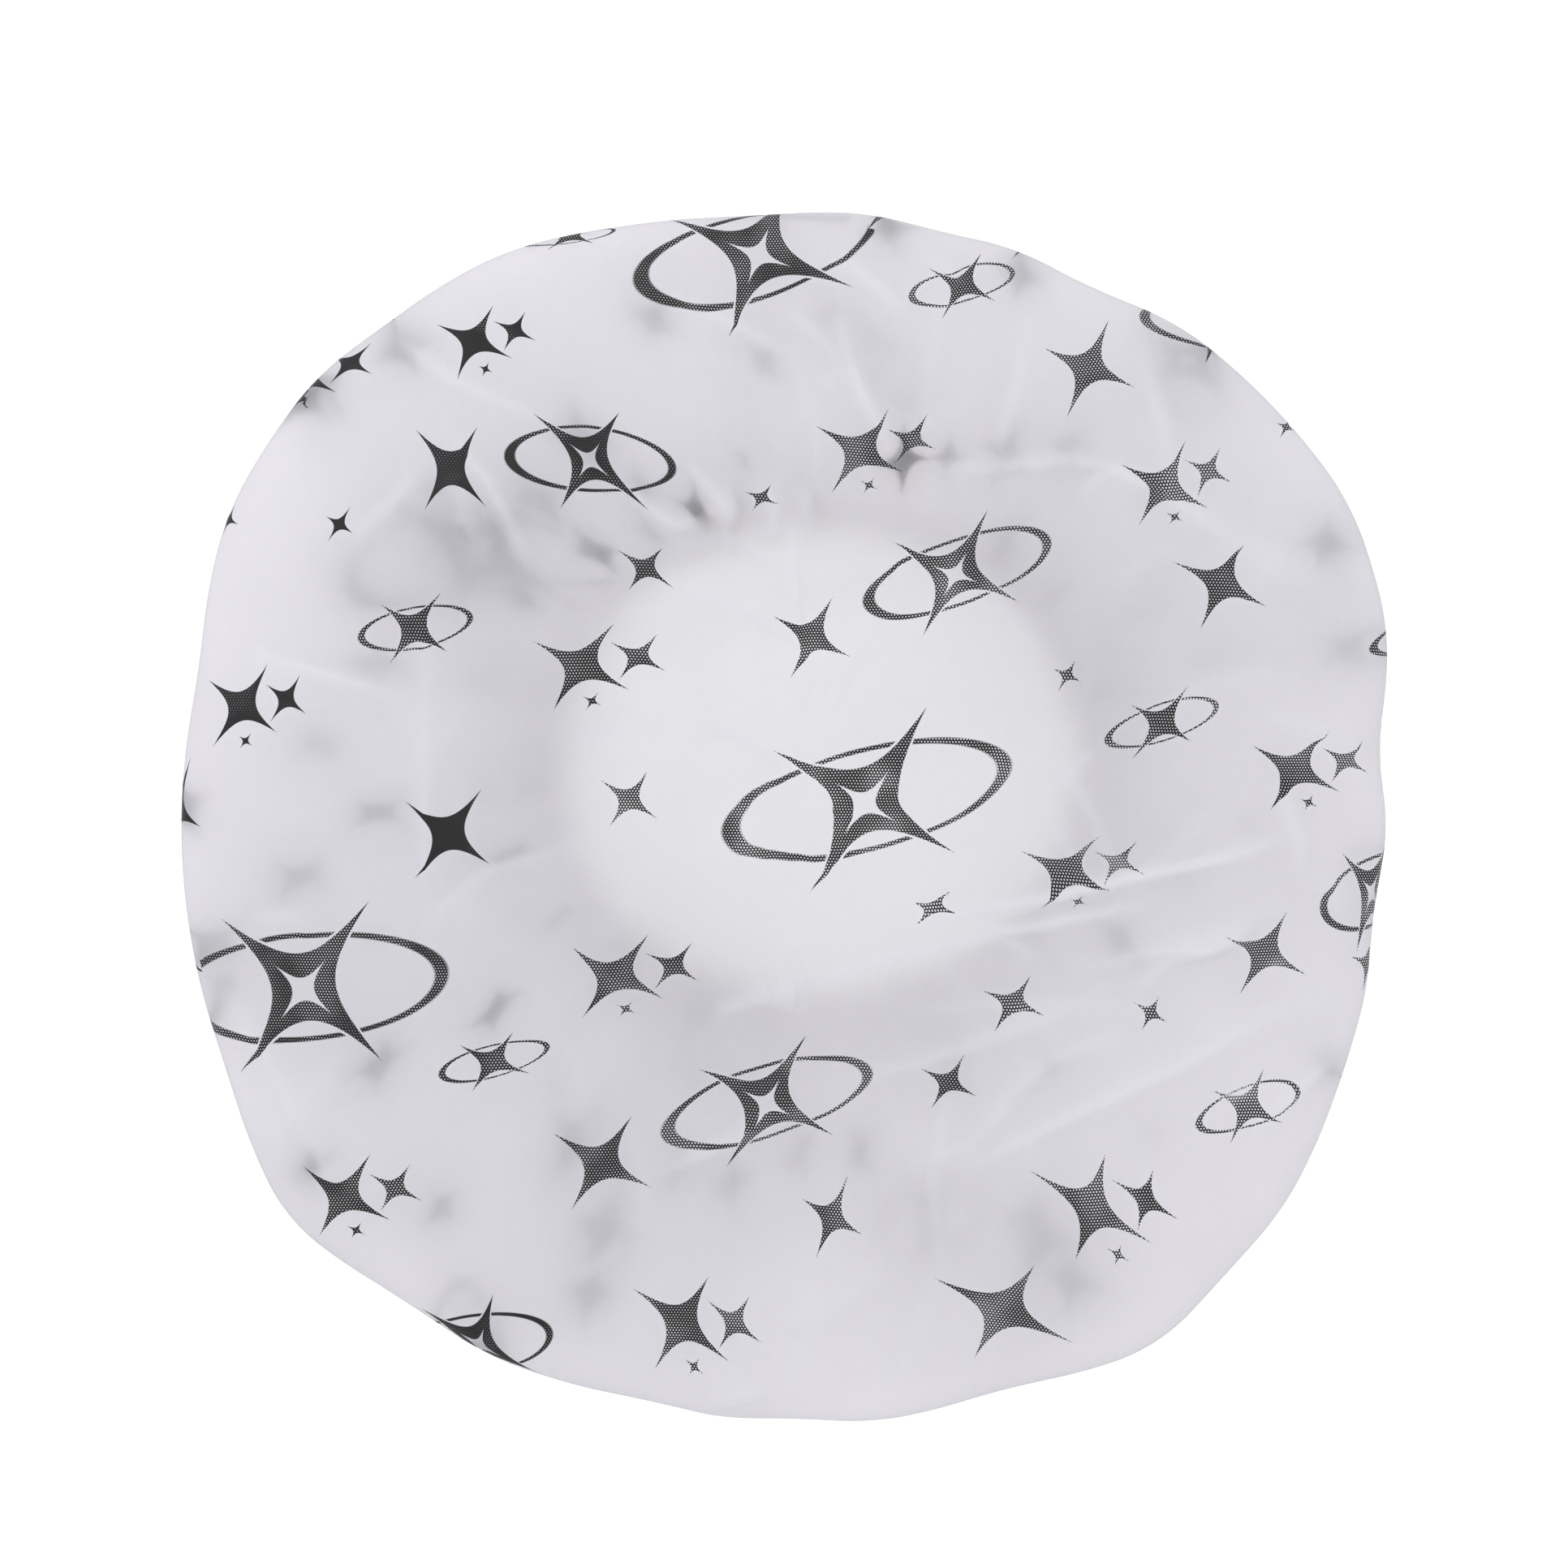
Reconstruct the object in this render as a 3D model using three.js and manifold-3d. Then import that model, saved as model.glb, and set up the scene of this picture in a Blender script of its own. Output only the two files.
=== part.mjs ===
// A shower cap lying crown up. One printed film disc is drawn in by the elastic band in its turned hem.
// Millimetres, +Z up. The origin lies on the surface under the cap, below the middle of its outline.
import * as THREE from 'three';
import { mergeVertices } from 'three/addons/utils/BufferGeometryUtils.js';
import Module from 'manifold-3d';

const wasm = await Module();
wasm.setup();

// Film disc as it lies relaxed
const SPREAD = 285;
const CROWN_HEIGHT = 24;
const RIM_HEIGHT = 9;
const FLOOR_GAP = 0.7;
const FILM_THICKNESS = 0.5;
const FOLD_HEIGHT = 1.8;
const FOLDS = 24;
const STEPS_PER_FOLD = 3;

// The mouth that the band draws in, and where its middle lies under the crown
const MOUTH_WIDTH = 127;
const MOUTH_DEPTH = 114;
const MOUTH_RIGHT = 8.4;
const MOUTH_BACK = 12.7;

// Flat elastic band: a braided cover round four rubber cores, closed by a lap
const BAND_WIDTH = 6;
const BAND_THICKNESS = 1.4;
const BRAID_WALL = 0.25;
const CORE_DIAMETER = 0.4;
const CORES = 4;
const BAND_LAP = 14;
const BAND_STEPS = 60;
const CORE_SIDES = 5;

// Hem: a casing folded round the band, closed over it by one row of lockstitch
const FOOT_HEIGHT = 1.4;
const CASING_FLUTE = 1.6;
const SHOULDER_RISE = 0.9;
const SEAM_HEIGHT = 1.2;
const NECK_RISE = 1;
const NECK_REACH = 0.8;
const STITCHES = 24;
const THREAD_DIAMETER = 0.3;
const NEEDLE_HOLE = 1.1;

// Zigzag tack through the lap of the band
const TACK_PITCH = 1.7;
const TACK_LEGS = 6;
const TACK_SIDES = 6;
const TACK_HOLE = 0.85;

// Gap kept between touching pieces, and how far a cutter passes the wall it cuts
const CLEARANCE = 0.3;
const OVERRUN = 1;

// Corners and dips of the outline: its turn in degrees, and its share of half the spread
const OUTLINE_SHARES = [
  [0, 0.996], [6, 0.981], [17, 1.043], [29, 1.066], [42, 1.051], [51, 1.041], [60, 1.007],
  [68, 1.012], [75, 0.996], [82, 1.005], [94, 0.991], [104, 1.007], [116, 1.039], [130, 1.043],
  [136, 1.059], [152, 1.043], [166, 0.993], [176, 0.993], [190, 0.997], [204, 1.008], [219, 1.054],
  [232, 1.011], [242, 1.012], [257, 0.985], [265, 0.997], [271, 0.991], [278, 1.009], [291, 1.008],
  [305, 1.066], [315, 1.046], [321, 1.047], [335, 1.013], [345, 1.0], [350, 0.981],
];

// Rows of the film between the crown's middle and its rim, and between the rim and the hem's neck
const CROWN_ROW_SHARES = [0.14, 0.28, 0.4, 0.51, 0.61, 0.7, 0.78, 0.86, 0.95, 0.99];
const UNDER_ROW_SHARES = [0.02, 0.1, 0.28, 0.5, 0.72, 0.88, 1];
const CROWN_FALL_POWER = 3.2;
const CROWN_ROUND_POWER = 0.565;
const RIM_ROUND_SHARE = 0.35;
const NECK_RISE_SHARE = 0.35;

// Billows of the crown: their place to the right and to the back and their reach as shares of half the
// spread, and how much they add to the crown's rise as a share of it
const BILLOW_SHARES = [
  [-0.8, 0.05, 0.19, 0.16], [-0.6, 0.54, 0.2, 0.15], [-0.15, 0.78, 0.19, 0.17], [0.32, 0.72, 0.17, 0.14],
  [0.72, 0.42, 0.19, 0.16], [0.82, -0.04, 0.17, 0.14], [0.62, -0.5, 0.2, 0.16], [0.16, -0.8, 0.19, 0.15],
  [-0.28, -0.62, 0.15, 0.1], [-0.56, -0.62, 0.17, 0.15], [-0.7, -0.26, 0.16, 0.13],
];

const HALF_TURN = Math.PI;
const FULL_TURN = 2 * Math.PI;
const STEPS = FOLDS * STEPS_PER_FOLD;
const CROWN_RISE = CROWN_HEIGHT - FILM_THICKNESS / 2 - RIM_HEIGHT;
const HALF_FILM = FILM_THICKNESS / 2;
const LAP_SHIFT = (BAND_THICKNESS + CLEARANCE) / 2;
const CASING_HALF = BAND_THICKNESS / 2 + LAP_SHIFT + CLEARANCE + HALF_FILM;
const FOOT_HALF = CASING_HALF - FOOT_HEIGHT / 2;
const SEAM_HALF = CLEARANCE / 2 + HALF_FILM;
const BAND_TOP = FOOT_HEIGHT + BAND_WIDTH;
const SHOULDER = BAND_TOP + CLEARANCE;
const SEAM_BOTTOM = SHOULDER + SHOULDER_RISE;
const SEAM_TOP = SEAM_BOTTOM + SEAM_HEIGHT;
const STITCH_HEIGHT = (SEAM_BOTTOM + SEAM_TOP) / 2;
const NECK_HEIGHT = SEAM_TOP + NECK_RISE;
const UNDER_HEIGHT = FLOOR_GAP + HALF_FILM + FOLD_HEIGHT;

const film = new THREE.MeshStandardMaterial({ color: 0xdedce2, roughness: 0.55, metalness: 0 });
const braid = new THREE.MeshStandardMaterial({ color: 0xf0eff0, roughness: 0.9, metalness: 0 });
const rubber = new THREE.MeshStandardMaterial({ color: 0xd9cfb4, roughness: 0.7, metalness: 0 });
const thread = new THREE.MeshStandardMaterial({ color: 0xf4f4f5, roughness: 0.85, metalness: 0 });

// How far the outline lies from the middle at one angle
function rimRadius(angle) {
  const degrees = THREE.MathUtils.euclideanModulo(THREE.MathUtils.radToDeg(angle), 360);
  const last = OUTLINE_SHARES.length - 1;
  const after = OUTLINE_SHARES.findIndex(([turn]) => turn > degrees);
  const [turn0, share0] = OUTLINE_SHARES[after < 0 ? last : after - 1];
  const [turn1, share1] = after < 0 ? [360, OUTLINE_SHARES[0][1]] : OUTLINE_SHARES[after];
  const share = THREE.MathUtils.mapLinear(degrees, turn0, turn1, share0, share1);
  return share * SPREAD / 2;
}

// A point beside the band's centreline: out is away from the mouth, height is above the surface
function roundMouth(angle, out, height) {
  return new THREE.Vector3(
    MOUTH_RIGHT + (MOUTH_WIDTH / 2 + out) * Math.cos(angle),
    MOUTH_BACK + (MOUTH_DEPTH / 2 + out) * Math.sin(angle),
    height,
  );
}

// One length along the band's centreline as an angle of the mouth
const MEAN_MOUTH_RADIUS = (MOUTH_WIDTH + MOUTH_DEPTH) / 4;
const turnOf = (length) => length / MEAN_MOUTH_RADIUS;

// What the billows add at a point, as a share of the crown's rise
function billowShare(right, back) {
  const half = SPREAD / 2;
  return BILLOW_SHARES.reduce((sum, [rightShare, backShare, reachShare, riseShare]) => {
    const away = Math.hypot(right - rightShare * half, back - backShare * half);
    return sum + riseShare * Math.exp(-((away / (reachShare * half)) ** 2));
  }, 0);
}

// The crown falls from its middle to the rim, steeply at the last
function crownPoint(share, angle) {
  const fall = (1 - share ** CROWN_FALL_POWER) ** CROWN_ROUND_POWER;
  const radius = share * rimRadius(angle);
  const right = radius * Math.cos(angle);
  const back = radius * Math.sin(angle);
  return new THREE.Vector3(right, back, RIM_HEIGHT + CROWN_RISE * fall * (1 + billowShare(right, back)));
}

// The underside turns in at the rim, lies low in folds and climbs to the hem's neck
function underPoint(share, angle) {
  const point = crownPoint(1, angle).lerp(roundMouth(angle, SEAM_HALF + NECK_REACH, NECK_HEIGHT), share);
  const turned = Math.max(1 - share / RIM_ROUND_SHARE, 0);
  const climbed = Math.max(1 - (1 - share) / NECK_RISE_SHARE, 0);
  const rounding = (RIM_HEIGHT - UNDER_HEIGHT) * (1 - Math.sqrt(1 - turned ** 2));
  const climb = (NECK_HEIGHT - UNDER_HEIGHT) * climbed ** 2;
  const fold = FOLD_HEIGHT * Math.sin(HALF_TURN * share) * Math.cos(FOLDS * angle);
  point.z = UNDER_HEIGHT + rounding + climb + fold;
  return point;
}

// The hem's walls stand in flutes, away from the band on both sides
function hemPoint(out, height, fluted, angle) {
  const flute = fluted * CASING_FLUTE * (1 + Math.cos(FOLDS * angle)) / 2;
  return roundMouth(angle, out + flute, height);
}

const HEM_ROWS = [
  [SEAM_HALF, SEAM_TOP, 0],
  [SEAM_HALF, SEAM_BOTTOM, 0],
  [CASING_HALF, SHOULDER, 1],
  [CASING_HALF, FOOT_HEIGHT, 1],
  [FOOT_HALF, HALF_FILM, 1],
  [-FOOT_HALF, HALF_FILM, -1],
  [-CASING_HALF, FOOT_HEIGHT, -1],
  [-CASING_HALF, SHOULDER, -1],
  [-SEAM_HALF, SEAM_BOTTOM, 0],
  [-SEAM_HALF, SEAM_TOP, 0],
];

const ringAngles = Array.from({ length: STEPS }, (_, step) => (FULL_TURN * step) / STEPS);

// The film's middle surface, one ring of points for each row
function filmRings() {
  return [
    ...CROWN_ROW_SHARES.map((share) => ringAngles.map((angle) => crownPoint(share, angle))),
    ringAngles.map((angle) => crownPoint(1, angle)),
    ...UNDER_ROW_SHARES.map((share) => ringAngles.map((angle) => underPoint(share, angle))),
    ...HEM_ROWS.map(([out, height, fluted]) => (
      ringAngles.map((angle) => hemPoint(out, height, fluted, angle))
    )),
  ];
}

// Both skins of the film lie half its thickness off the middle surface; the foot is pressed flat
function filmSkins() {
  const rings = filmRings();
  const hemStart = rings.length - HEM_ROWS.length;
  const middle = new THREE.Vector3(0, 0, CROWN_HEIGHT - HALF_FILM);
  return [1, -1].map((side) => {
    const skin = [[middle.clone().setZ(middle.z + side * HALF_FILM)]];
    rings.forEach((ring, row) => {
      const before = rings[row - 1] ?? ring.map(() => middle);
      const after = rings[row + 1] ?? ring;
      skin.push(ring.map((point, step) => {
        const along = ring[(step + 1) % STEPS].clone().sub(ring[(step + STEPS - 1) % STEPS]);
        const outward = after[step].clone().sub(before[step]).cross(along).normalize();
        const placed = point.clone().addScaledVector(outward, side * HALF_FILM);
        const isFoot = HEM_ROWS[row - hemStart]?.[1] === HALF_FILM;
        return isFoot ? placed.setZ(HALF_FILM - side * HALF_FILM) : placed;
      }));
    });
    return skin;
  });
}

// A closed mesh from points and triangles
function meshOf(points, triangles) {
  const geometry = new THREE.BufferGeometry();
  geometry.setAttribute('position', new THREE.Float32BufferAttribute(points.flatMap((p) => p.toArray()), 3));
  geometry.setIndex(triangles.flat());
  return geometry;
}

// Both skins of a stretch of the disc, joined round its edges; a first row of one point is the middle
function filmGeometry(skins) {
  const [outer, inner] = skins;
  const points = [...outer.flat(), ...inner.flat()];
  const skinSize = outer.flat().length;
  const rows = outer.length - 1;
  const middles = outer[0].length === 1 ? 1 : 0;
  const at = (skin, row, step) => (
    skin * skinSize + (middles && row === 0 ? 0 : middles + (row - middles) * STEPS + (step % STEPS))
  );
  const triangles = [];
  for (let step = 0; step < STEPS; step += 1) {
    if (middles) {
      triangles.push([at(0, 0, 0), at(0, 1, step), at(0, 1, step + 1)]);
      triangles.push([at(1, 0, 0), at(1, 1, step + 1), at(1, 1, step)]);
    } else {
      triangles.push([at(0, 0, step), at(1, 0, step + 1), at(1, 0, step)]);
      triangles.push([at(0, 0, step), at(0, 0, step + 1), at(1, 0, step + 1)]);
    }
    for (let row = middles; row < rows; row += 1) {
      const next = row + 1;
      triangles.push([at(0, row, step), at(0, next, step), at(0, next, step + 1)]);
      triangles.push([at(0, row, step), at(0, next, step + 1), at(0, row, step + 1)]);
      triangles.push([at(1, row, step), at(1, next, step + 1), at(1, next, step)]);
      triangles.push([at(1, row, step), at(1, row, step + 1), at(1, next, step + 1)]);
    }
    triangles.push([at(0, rows, step), at(1, rows, step), at(1, rows, step + 1)]);
    triangles.push([at(0, rows, step), at(1, rows, step + 1), at(0, rows, step + 1)]);
  }
  return meshOf(points, triangles);
}

// The disc comes in two stretches, which part at the rim by the clearance
const RIM_ROW = CROWN_ROW_SHARES.length + 1;

function crownSkins() {
  return filmSkins().map((skin) => skin.slice(0, RIM_ROW + 1).map((ring, row) => (
    row === RIM_ROW ? ring.map((point) => point.clone().setZ(point.z + CLEARANCE / 2)) : ring
  )));
}

function skirtSkins() {
  return filmSkins().map((skin) => skin.slice(RIM_ROW).map((ring, row) => (
    row ? ring : ring.map((point) => point.clone().setZ(point.z - CLEARANCE / 2))
  )));
}

// Sections carried along a path, closed into a ring or capped at both ends
function sweep(sections, closed) {
  const sides = sections[0].length;
  const count = sections.length;
  const triangles = [];
  for (let i = 0; i < (closed ? count : count - 1); i += 1) {
    for (let j = 0; j < sides; j += 1) {
      const a = i * sides + j;
      const b = i * sides + ((j + 1) % sides);
      const c = ((i + 1) % count) * sides;
      triangles.push([a, b, c + ((j + 1) % sides)]);
      triangles.push([a, c + ((j + 1) % sides), c + j]);
    }
  }
  for (let j = 1; !closed && j < sides - 1; j += 1) {
    const last = (count - 1) * sides;
    triangles.push([0, j + 1, j]);
    triangles.push([last, last + j, last + j + 1]);
  }
  return meshOf(sections.flat(), triangles);
}

// A regular section, anticlockwise as it is seen along the path
function roundSection(diameter, sides) {
  return Array.from({ length: sides }, (_, side) => {
    const angle = (FULL_TURN * side) / sides;
    return [-(diameter / 2) * Math.cos(angle), (diameter / 2) * Math.sin(angle)];
  });
}

function boxSection(thickness, width) {
  return [[-thickness / 2, -width / 2], [-thickness / 2, width / 2], [thickness / 2, width / 2],
    [thickness / 2, -width / 2]];
}

// The band runs once round the mouth and laps over its own start, drifting outwards by its thickness
function alongBand(section, raised, overrun) {
  const lap = turnOf(BAND_LAP / 2);
  const spare = turnOf(overrun);
  const centre = FOOT_HEIGHT + BAND_WIDTH / 2 + raised;
  return Array.from({ length: BAND_STEPS + 1 }, (_, step) => {
    const share = step / BAND_STEPS;
    const angle = THREE.MathUtils.lerp(-lap - spare, FULL_TURN + lap + spare, share);
    const drift = LAP_SHIFT * (2 * share - 1);
    return section.map(([out, up]) => roundMouth(angle, drift + out, centre + up));
  });
}

// A solid from a closed geometry, for cutting
function solidOf(geometry) {
  const bare = geometry.clone();
  bare.deleteAttribute('normal');
  bare.deleteAttribute('uv');
  const merged = mergeVertices(bare);
  const vertProperties = new Float32Array(merged.attributes.position.array);
  const triVerts = new Uint32Array(merged.index.array);
  return new wasm.Manifold(new wasm.Mesh({ numProp: 3, vertProperties, triVerts }));
}

function geometryOf(solid) {
  const { vertProperties, triVerts, numProp } = solid.getMesh();
  const positions = Array.from({ length: vertProperties.length / numProp }, (_, vertex) => (
    Array.from(vertProperties.slice(vertex * numProp, vertex * numProp + 3))
  ));
  const geometry = new THREE.BufferGeometry();
  geometry.setAttribute('position', new THREE.Float32BufferAttribute(positions.flat(), 3));
  geometry.setIndex(Array.from(triVerts));
  return geometry;
}

// A square hole through a wall of the hem or band, square to the wall
function holeAt(angle, height, size, reach) {
  const box = new THREE.BoxGeometry(2 * reach, size, size);
  const centre = roundMouth(angle, 0, height);
  const ahead = roundMouth(angle + 1 / STEPS, 0, height);
  box.rotateZ(Math.atan2(ahead.y - centre.y, ahead.x - centre.x) - HALF_TURN / 2);
  box.translate(centre.x, centre.y, centre.z);
  return solidOf(box);
}

function cut(geometry, holes) {
  return geometryOf(holes.reduce((solid, hole) => solid.subtract(hole), solidOf(geometry)));
}

// Stitches fall halfway between the film's rings of points, so that each hole is cut in one flat wall
const stitchAngles = Array.from({ length: STITCHES }, (_, stitch) => (
  (FULL_TURN * stitch) / STITCHES + HALF_TURN / STEPS
));

function skirtFilm() {
  const reach = SEAM_HALF + HALF_FILM + OVERRUN;
  const holes = stitchAngles.map((angle) => holeAt(angle, STITCH_HEIGHT, NEEDLE_HOLE, reach));
  return cut(filmGeometry(skirtSkins()), holes);
}

// A seam thread lies on one face of the hem and dips into each needle hole, towards the other thread
function seamThread(side) {
  const lifted = SEAM_HALF + HALF_FILM + CLEARANCE + THREAD_DIAMETER / 2;
  const dipped = (CLEARANCE + THREAD_DIAMETER) / 2;
  const shoulder = turnOf((NEEDLE_HOLE - THREAD_DIAMETER) / 3);
  const route = stitchAngles.flatMap((angle, stitch) => {
    const halfway = angle + HALF_TURN / STITCHES;
    return [[angle - shoulder, lifted], [angle, dipped], [angle + shoulder, lifted], [halfway, lifted]];
  });
  const section = [[-1, 0], [0, 1], [1, 0], [0, -1]];
  return sweep(route.map(([angle, out]) => section.map(([across, up]) => (
    roundMouth(angle, side * out + (across * THREAD_DIAMETER) / 2, STITCH_HEIGHT + (up * THREAD_DIAMETER) / 2)
  ))), true);
}

// The tack's legs pass through the lap above and below its middle by turns
const tackRise = BAND_WIDTH / CORES;
const tackPlaces = Array.from({ length: TACK_LEGS }, (_, leg) => ({
  angle: turnOf((leg - (TACK_LEGS - 1) / 2) * TACK_PITCH),
  height: FOOT_HEIGHT + BAND_WIDTH / 2 + (leg % 2 ? tackRise : -tackRise),
}));

function elasticBraid() {
  const outer = boxSection(BAND_THICKNESS, BAND_WIDTH);
  const hollow = boxSection(BAND_THICKNESS - 2 * BRAID_WALL, BAND_WIDTH - 2 * BRAID_WALL);
  const core = solidOf(sweep(alongBand(hollow, 0, OVERRUN), false));
  const band = solidOf(sweep(alongBand(outer, 0, 0), false)).subtract(core);
  const reach = LAP_SHIFT + BAND_THICKNESS / 2 + OVERRUN;
  return cut(geometryOf(band), tackPlaces.map(({ angle, height }) => holeAt(angle, height, TACK_HOLE, reach)));
}

function rubberCore(index) {
  const raised = (index - (CORES - 1) / 2) * (BAND_WIDTH / CORES);
  return sweep(alongBand(roundSection(CORE_DIAMETER, CORE_SIDES), raised, 0), false);
}

// Takes the corners off a thread's route, with a point a thread's radius before and after each
function softened(route, diameter) {
  return route.flatMap((corner, index) => (
    [route[index - 1], route[index + 1]].map((neighbour) => (
      neighbour ? neighbour.clone().sub(corner).setLength(diameter / 2).add(corner) : corner.clone()
    ))
  ));
}

// A thread along a route that turns in space, its section carried on without twist
function threadAlong(route, diameter, sides) {
  const lift = new THREE.Vector3(0, 0, 1);
  return sweep(route.map((point, index) => {
    const before = route[index - 1] ?? point;
    const ahead = (route[index + 1] ?? point).clone().sub(before).normalize();
    lift.addScaledVector(ahead, -lift.dot(ahead)).normalize();
    const aside = lift.clone().cross(ahead);
    return roundSection(diameter, sides).map(([across, up]) => (
      point.clone().addScaledVector(aside, -across).addScaledVector(lift, up)
    ));
  }), false);
}

function tackThread() {
  const out = LAP_SHIFT + BAND_THICKNESS / 2 + CLEARANCE + THREAD_DIAMETER / 2;
  const route = tackPlaces.flatMap(({ angle, height }, leg) => {
    const side = leg % 2 ? -1 : 1;
    return [roundMouth(angle, side * out, height), roundMouth(angle, -side * out, height)];
  });
  return threadAlong(softened(route, THREAD_DIAMETER), THREAD_DIAMETER, TACK_SIDES);
}

function piece(name, geometry, material) {
  const flat = geometry.index ? geometry.toNonIndexed() : geometry;
  flat.computeVertexNormals();
  const mesh = new THREE.Mesh(flat, material);
  mesh.name = name;
  return mesh;
}

const cap = new THREE.Group();
cap.add(piece('cap_film_crown', filmGeometry(crownSkins()), film));
cap.add(piece('cap_film_skirt', skirtFilm(), film));
cap.add(piece('elastic_braid', elasticBraid(), braid));
for (let index = 0; index < CORES; index += 1) {
  cap.add(piece(`rubber_core_${index + 1}`, rubberCore(index), rubber));
}
cap.add(piece('tack_thread', tackThread(), thread));
cap.add(piece('hem_needle_thread', seamThread(1), thread));
cap.add(piece('hem_bobbin_thread', seamThread(-1), thread));

export default cap;
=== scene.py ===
import math
from functools import partialmethod

import bpy
import numpy as np
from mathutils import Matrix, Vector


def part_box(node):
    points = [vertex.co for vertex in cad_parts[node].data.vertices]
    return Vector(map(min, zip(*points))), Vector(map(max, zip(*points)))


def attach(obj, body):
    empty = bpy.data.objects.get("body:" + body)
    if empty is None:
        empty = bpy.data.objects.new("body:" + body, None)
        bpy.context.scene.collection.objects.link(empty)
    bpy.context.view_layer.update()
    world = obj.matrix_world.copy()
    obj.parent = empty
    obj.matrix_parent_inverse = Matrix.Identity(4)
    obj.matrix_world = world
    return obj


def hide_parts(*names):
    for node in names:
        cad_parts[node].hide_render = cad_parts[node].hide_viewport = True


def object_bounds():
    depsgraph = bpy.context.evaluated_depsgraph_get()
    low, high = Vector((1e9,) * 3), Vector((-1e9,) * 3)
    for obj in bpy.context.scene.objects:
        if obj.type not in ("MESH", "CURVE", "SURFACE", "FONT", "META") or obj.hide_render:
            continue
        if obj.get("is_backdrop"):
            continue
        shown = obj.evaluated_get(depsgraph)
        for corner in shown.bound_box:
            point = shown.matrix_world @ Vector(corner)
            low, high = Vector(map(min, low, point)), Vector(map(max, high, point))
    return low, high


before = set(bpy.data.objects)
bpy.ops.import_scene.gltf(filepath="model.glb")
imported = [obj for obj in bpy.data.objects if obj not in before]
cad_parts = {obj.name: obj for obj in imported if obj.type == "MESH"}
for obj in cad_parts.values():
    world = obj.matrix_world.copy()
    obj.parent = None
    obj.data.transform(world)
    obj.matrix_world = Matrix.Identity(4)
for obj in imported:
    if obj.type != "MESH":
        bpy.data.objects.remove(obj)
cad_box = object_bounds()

# The photograph looks straight down on the lying cap. Its frame is square, and the outline's middle
# is a little below the frame's.
FRAME_PX = 1932
OUTLINE_PX = 1494
CAP_MIDDLE_PX = (966, 1006.5)
CAMERA_HEIGHT = 1.7
RIM_HEIGHT = 0.0095


def new_object(name, data):
    """A new object in the scene."""
    made = bpy.data.objects.new(name, data)
    bpy.context.scene.collection.objects.link(made)
    return made


crown_low, crown_high = (np.array(corner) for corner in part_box("cap_film_crown"))
px_size = (crown_high[0] - crown_low[0]) / OUTLINE_PX
camera_place = np.array([
    (FRAME_PX / 2 - CAP_MIDDLE_PX[0]) * px_size, (CAP_MIDDLE_PX[1] - FRAME_PX / 2) * px_size,
    CAMERA_HEIGHT])
lens_px = (CAMERA_HEIGHT - RIM_HEIGHT) / px_size
camera = new_object("camera", bpy.data.cameras.new("camera"))
camera.location = camera_place
camera.data.angle = 2 * math.atan(FRAME_PX / 2 / lens_px)
bpy.context.scene.camera = camera


def photo_px(points):
    """Where points show in the photograph: their offset from the camera over their depth below it."""
    scale = lens_px / (CAMERA_HEIGHT - points[..., 2])
    across = FRAME_PX / 2 + (points[..., 0] - camera_place[0]) * scale
    down = FRAME_PX / 2 - (points[..., 1] - camera_place[1]) * scale
    return np.stack([across, down], axis=-1)


# The cap's film is one disc of milky embossed film, half a metre across and a tenth of a millimetre
# thick. Its middle is the crown, its outer part turns under at the rim and runs in to the mouth,
# where its edge is folded round the elastic band and stitched, and so gathered in fine pleats.
CROWN_HEIGHT = 0.0235
CROWN_FALL_POWER = 3.2
CROWN_ROUND_POWER = 0.565
UNDER_HEIGHT = 0.0074
NECK_HEIGHT = 0.0108
RIM_ROUND_SHARE = 0.3
NECK_RISE_SHARE = 0.3
LEAST_HEIGHT = 0.0003
CROWN_SAMPLES = 80
SKIRT_SAMPLES = 90
HEM_ROUNDINGS = 3
COLUMNS = 576
CROWN_STEP = 0.0018
RIM_STEP = 0.0012
SKIRT_STEP = 0.0022
HEM_STEP = 0.0008
RIM_REACH = 0.012
NECK_REACH = 0.030

# The mouth is the ellipse halfway between the two seam threads, and the band lies under the seam
seam_boxes = np.array([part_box("hem_needle_thread"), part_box("hem_bobbin_thread")])
mouth_middle = seam_boxes.mean(axis=(0, 1))
mouth_reach = (seam_boxes[:, 1] - seam_boxes[:, 0]).mean(axis=0) / 2
seam_height = mouth_middle[2]
band_low, band_high = (np.array(corner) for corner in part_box("elastic_braid"))
CASING_HALF = 0.0021
SEAM_HALF = 0.0003
SEAM_REACH = 0.0006
FOOT_HALF = 0.0012
FOOT_RISE = 0.0012
EDGE_RISE = 0.002

# Corners and dips of the outline: its turn in degrees, and its share of half the cap's width
OUTLINE_SHARES = np.array([
    (0, 0.996), (6, 0.981), (17, 1.043), (29, 1.066), (42, 1.051), (51, 1.041), (60, 1.007),
    (68, 1.012), (75, 0.996), (82, 1.005), (94, 0.991), (104, 1.007), (116, 1.039), (130, 1.043),
    (136, 1.059), (152, 1.043), (166, 0.993), (176, 0.993), (190, 0.997), (204, 1.008),
    (219, 1.054), (232, 1.011), (242, 1.012), (257, 0.985), (265, 0.997), (271, 0.991),
    (278, 1.009), (291, 1.008), (305, 1.066), (315, 1.046), (321, 1.047), (335, 1.013),
    (345, 1.0), (350, 0.981),
])
half_width = px_size * OUTLINE_PX / 2
# How many degrees to each side of a place the outline's corners are rounded over
ROUNDING_TURNS = np.linspace(-3.2, 3.2, 5)

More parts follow.
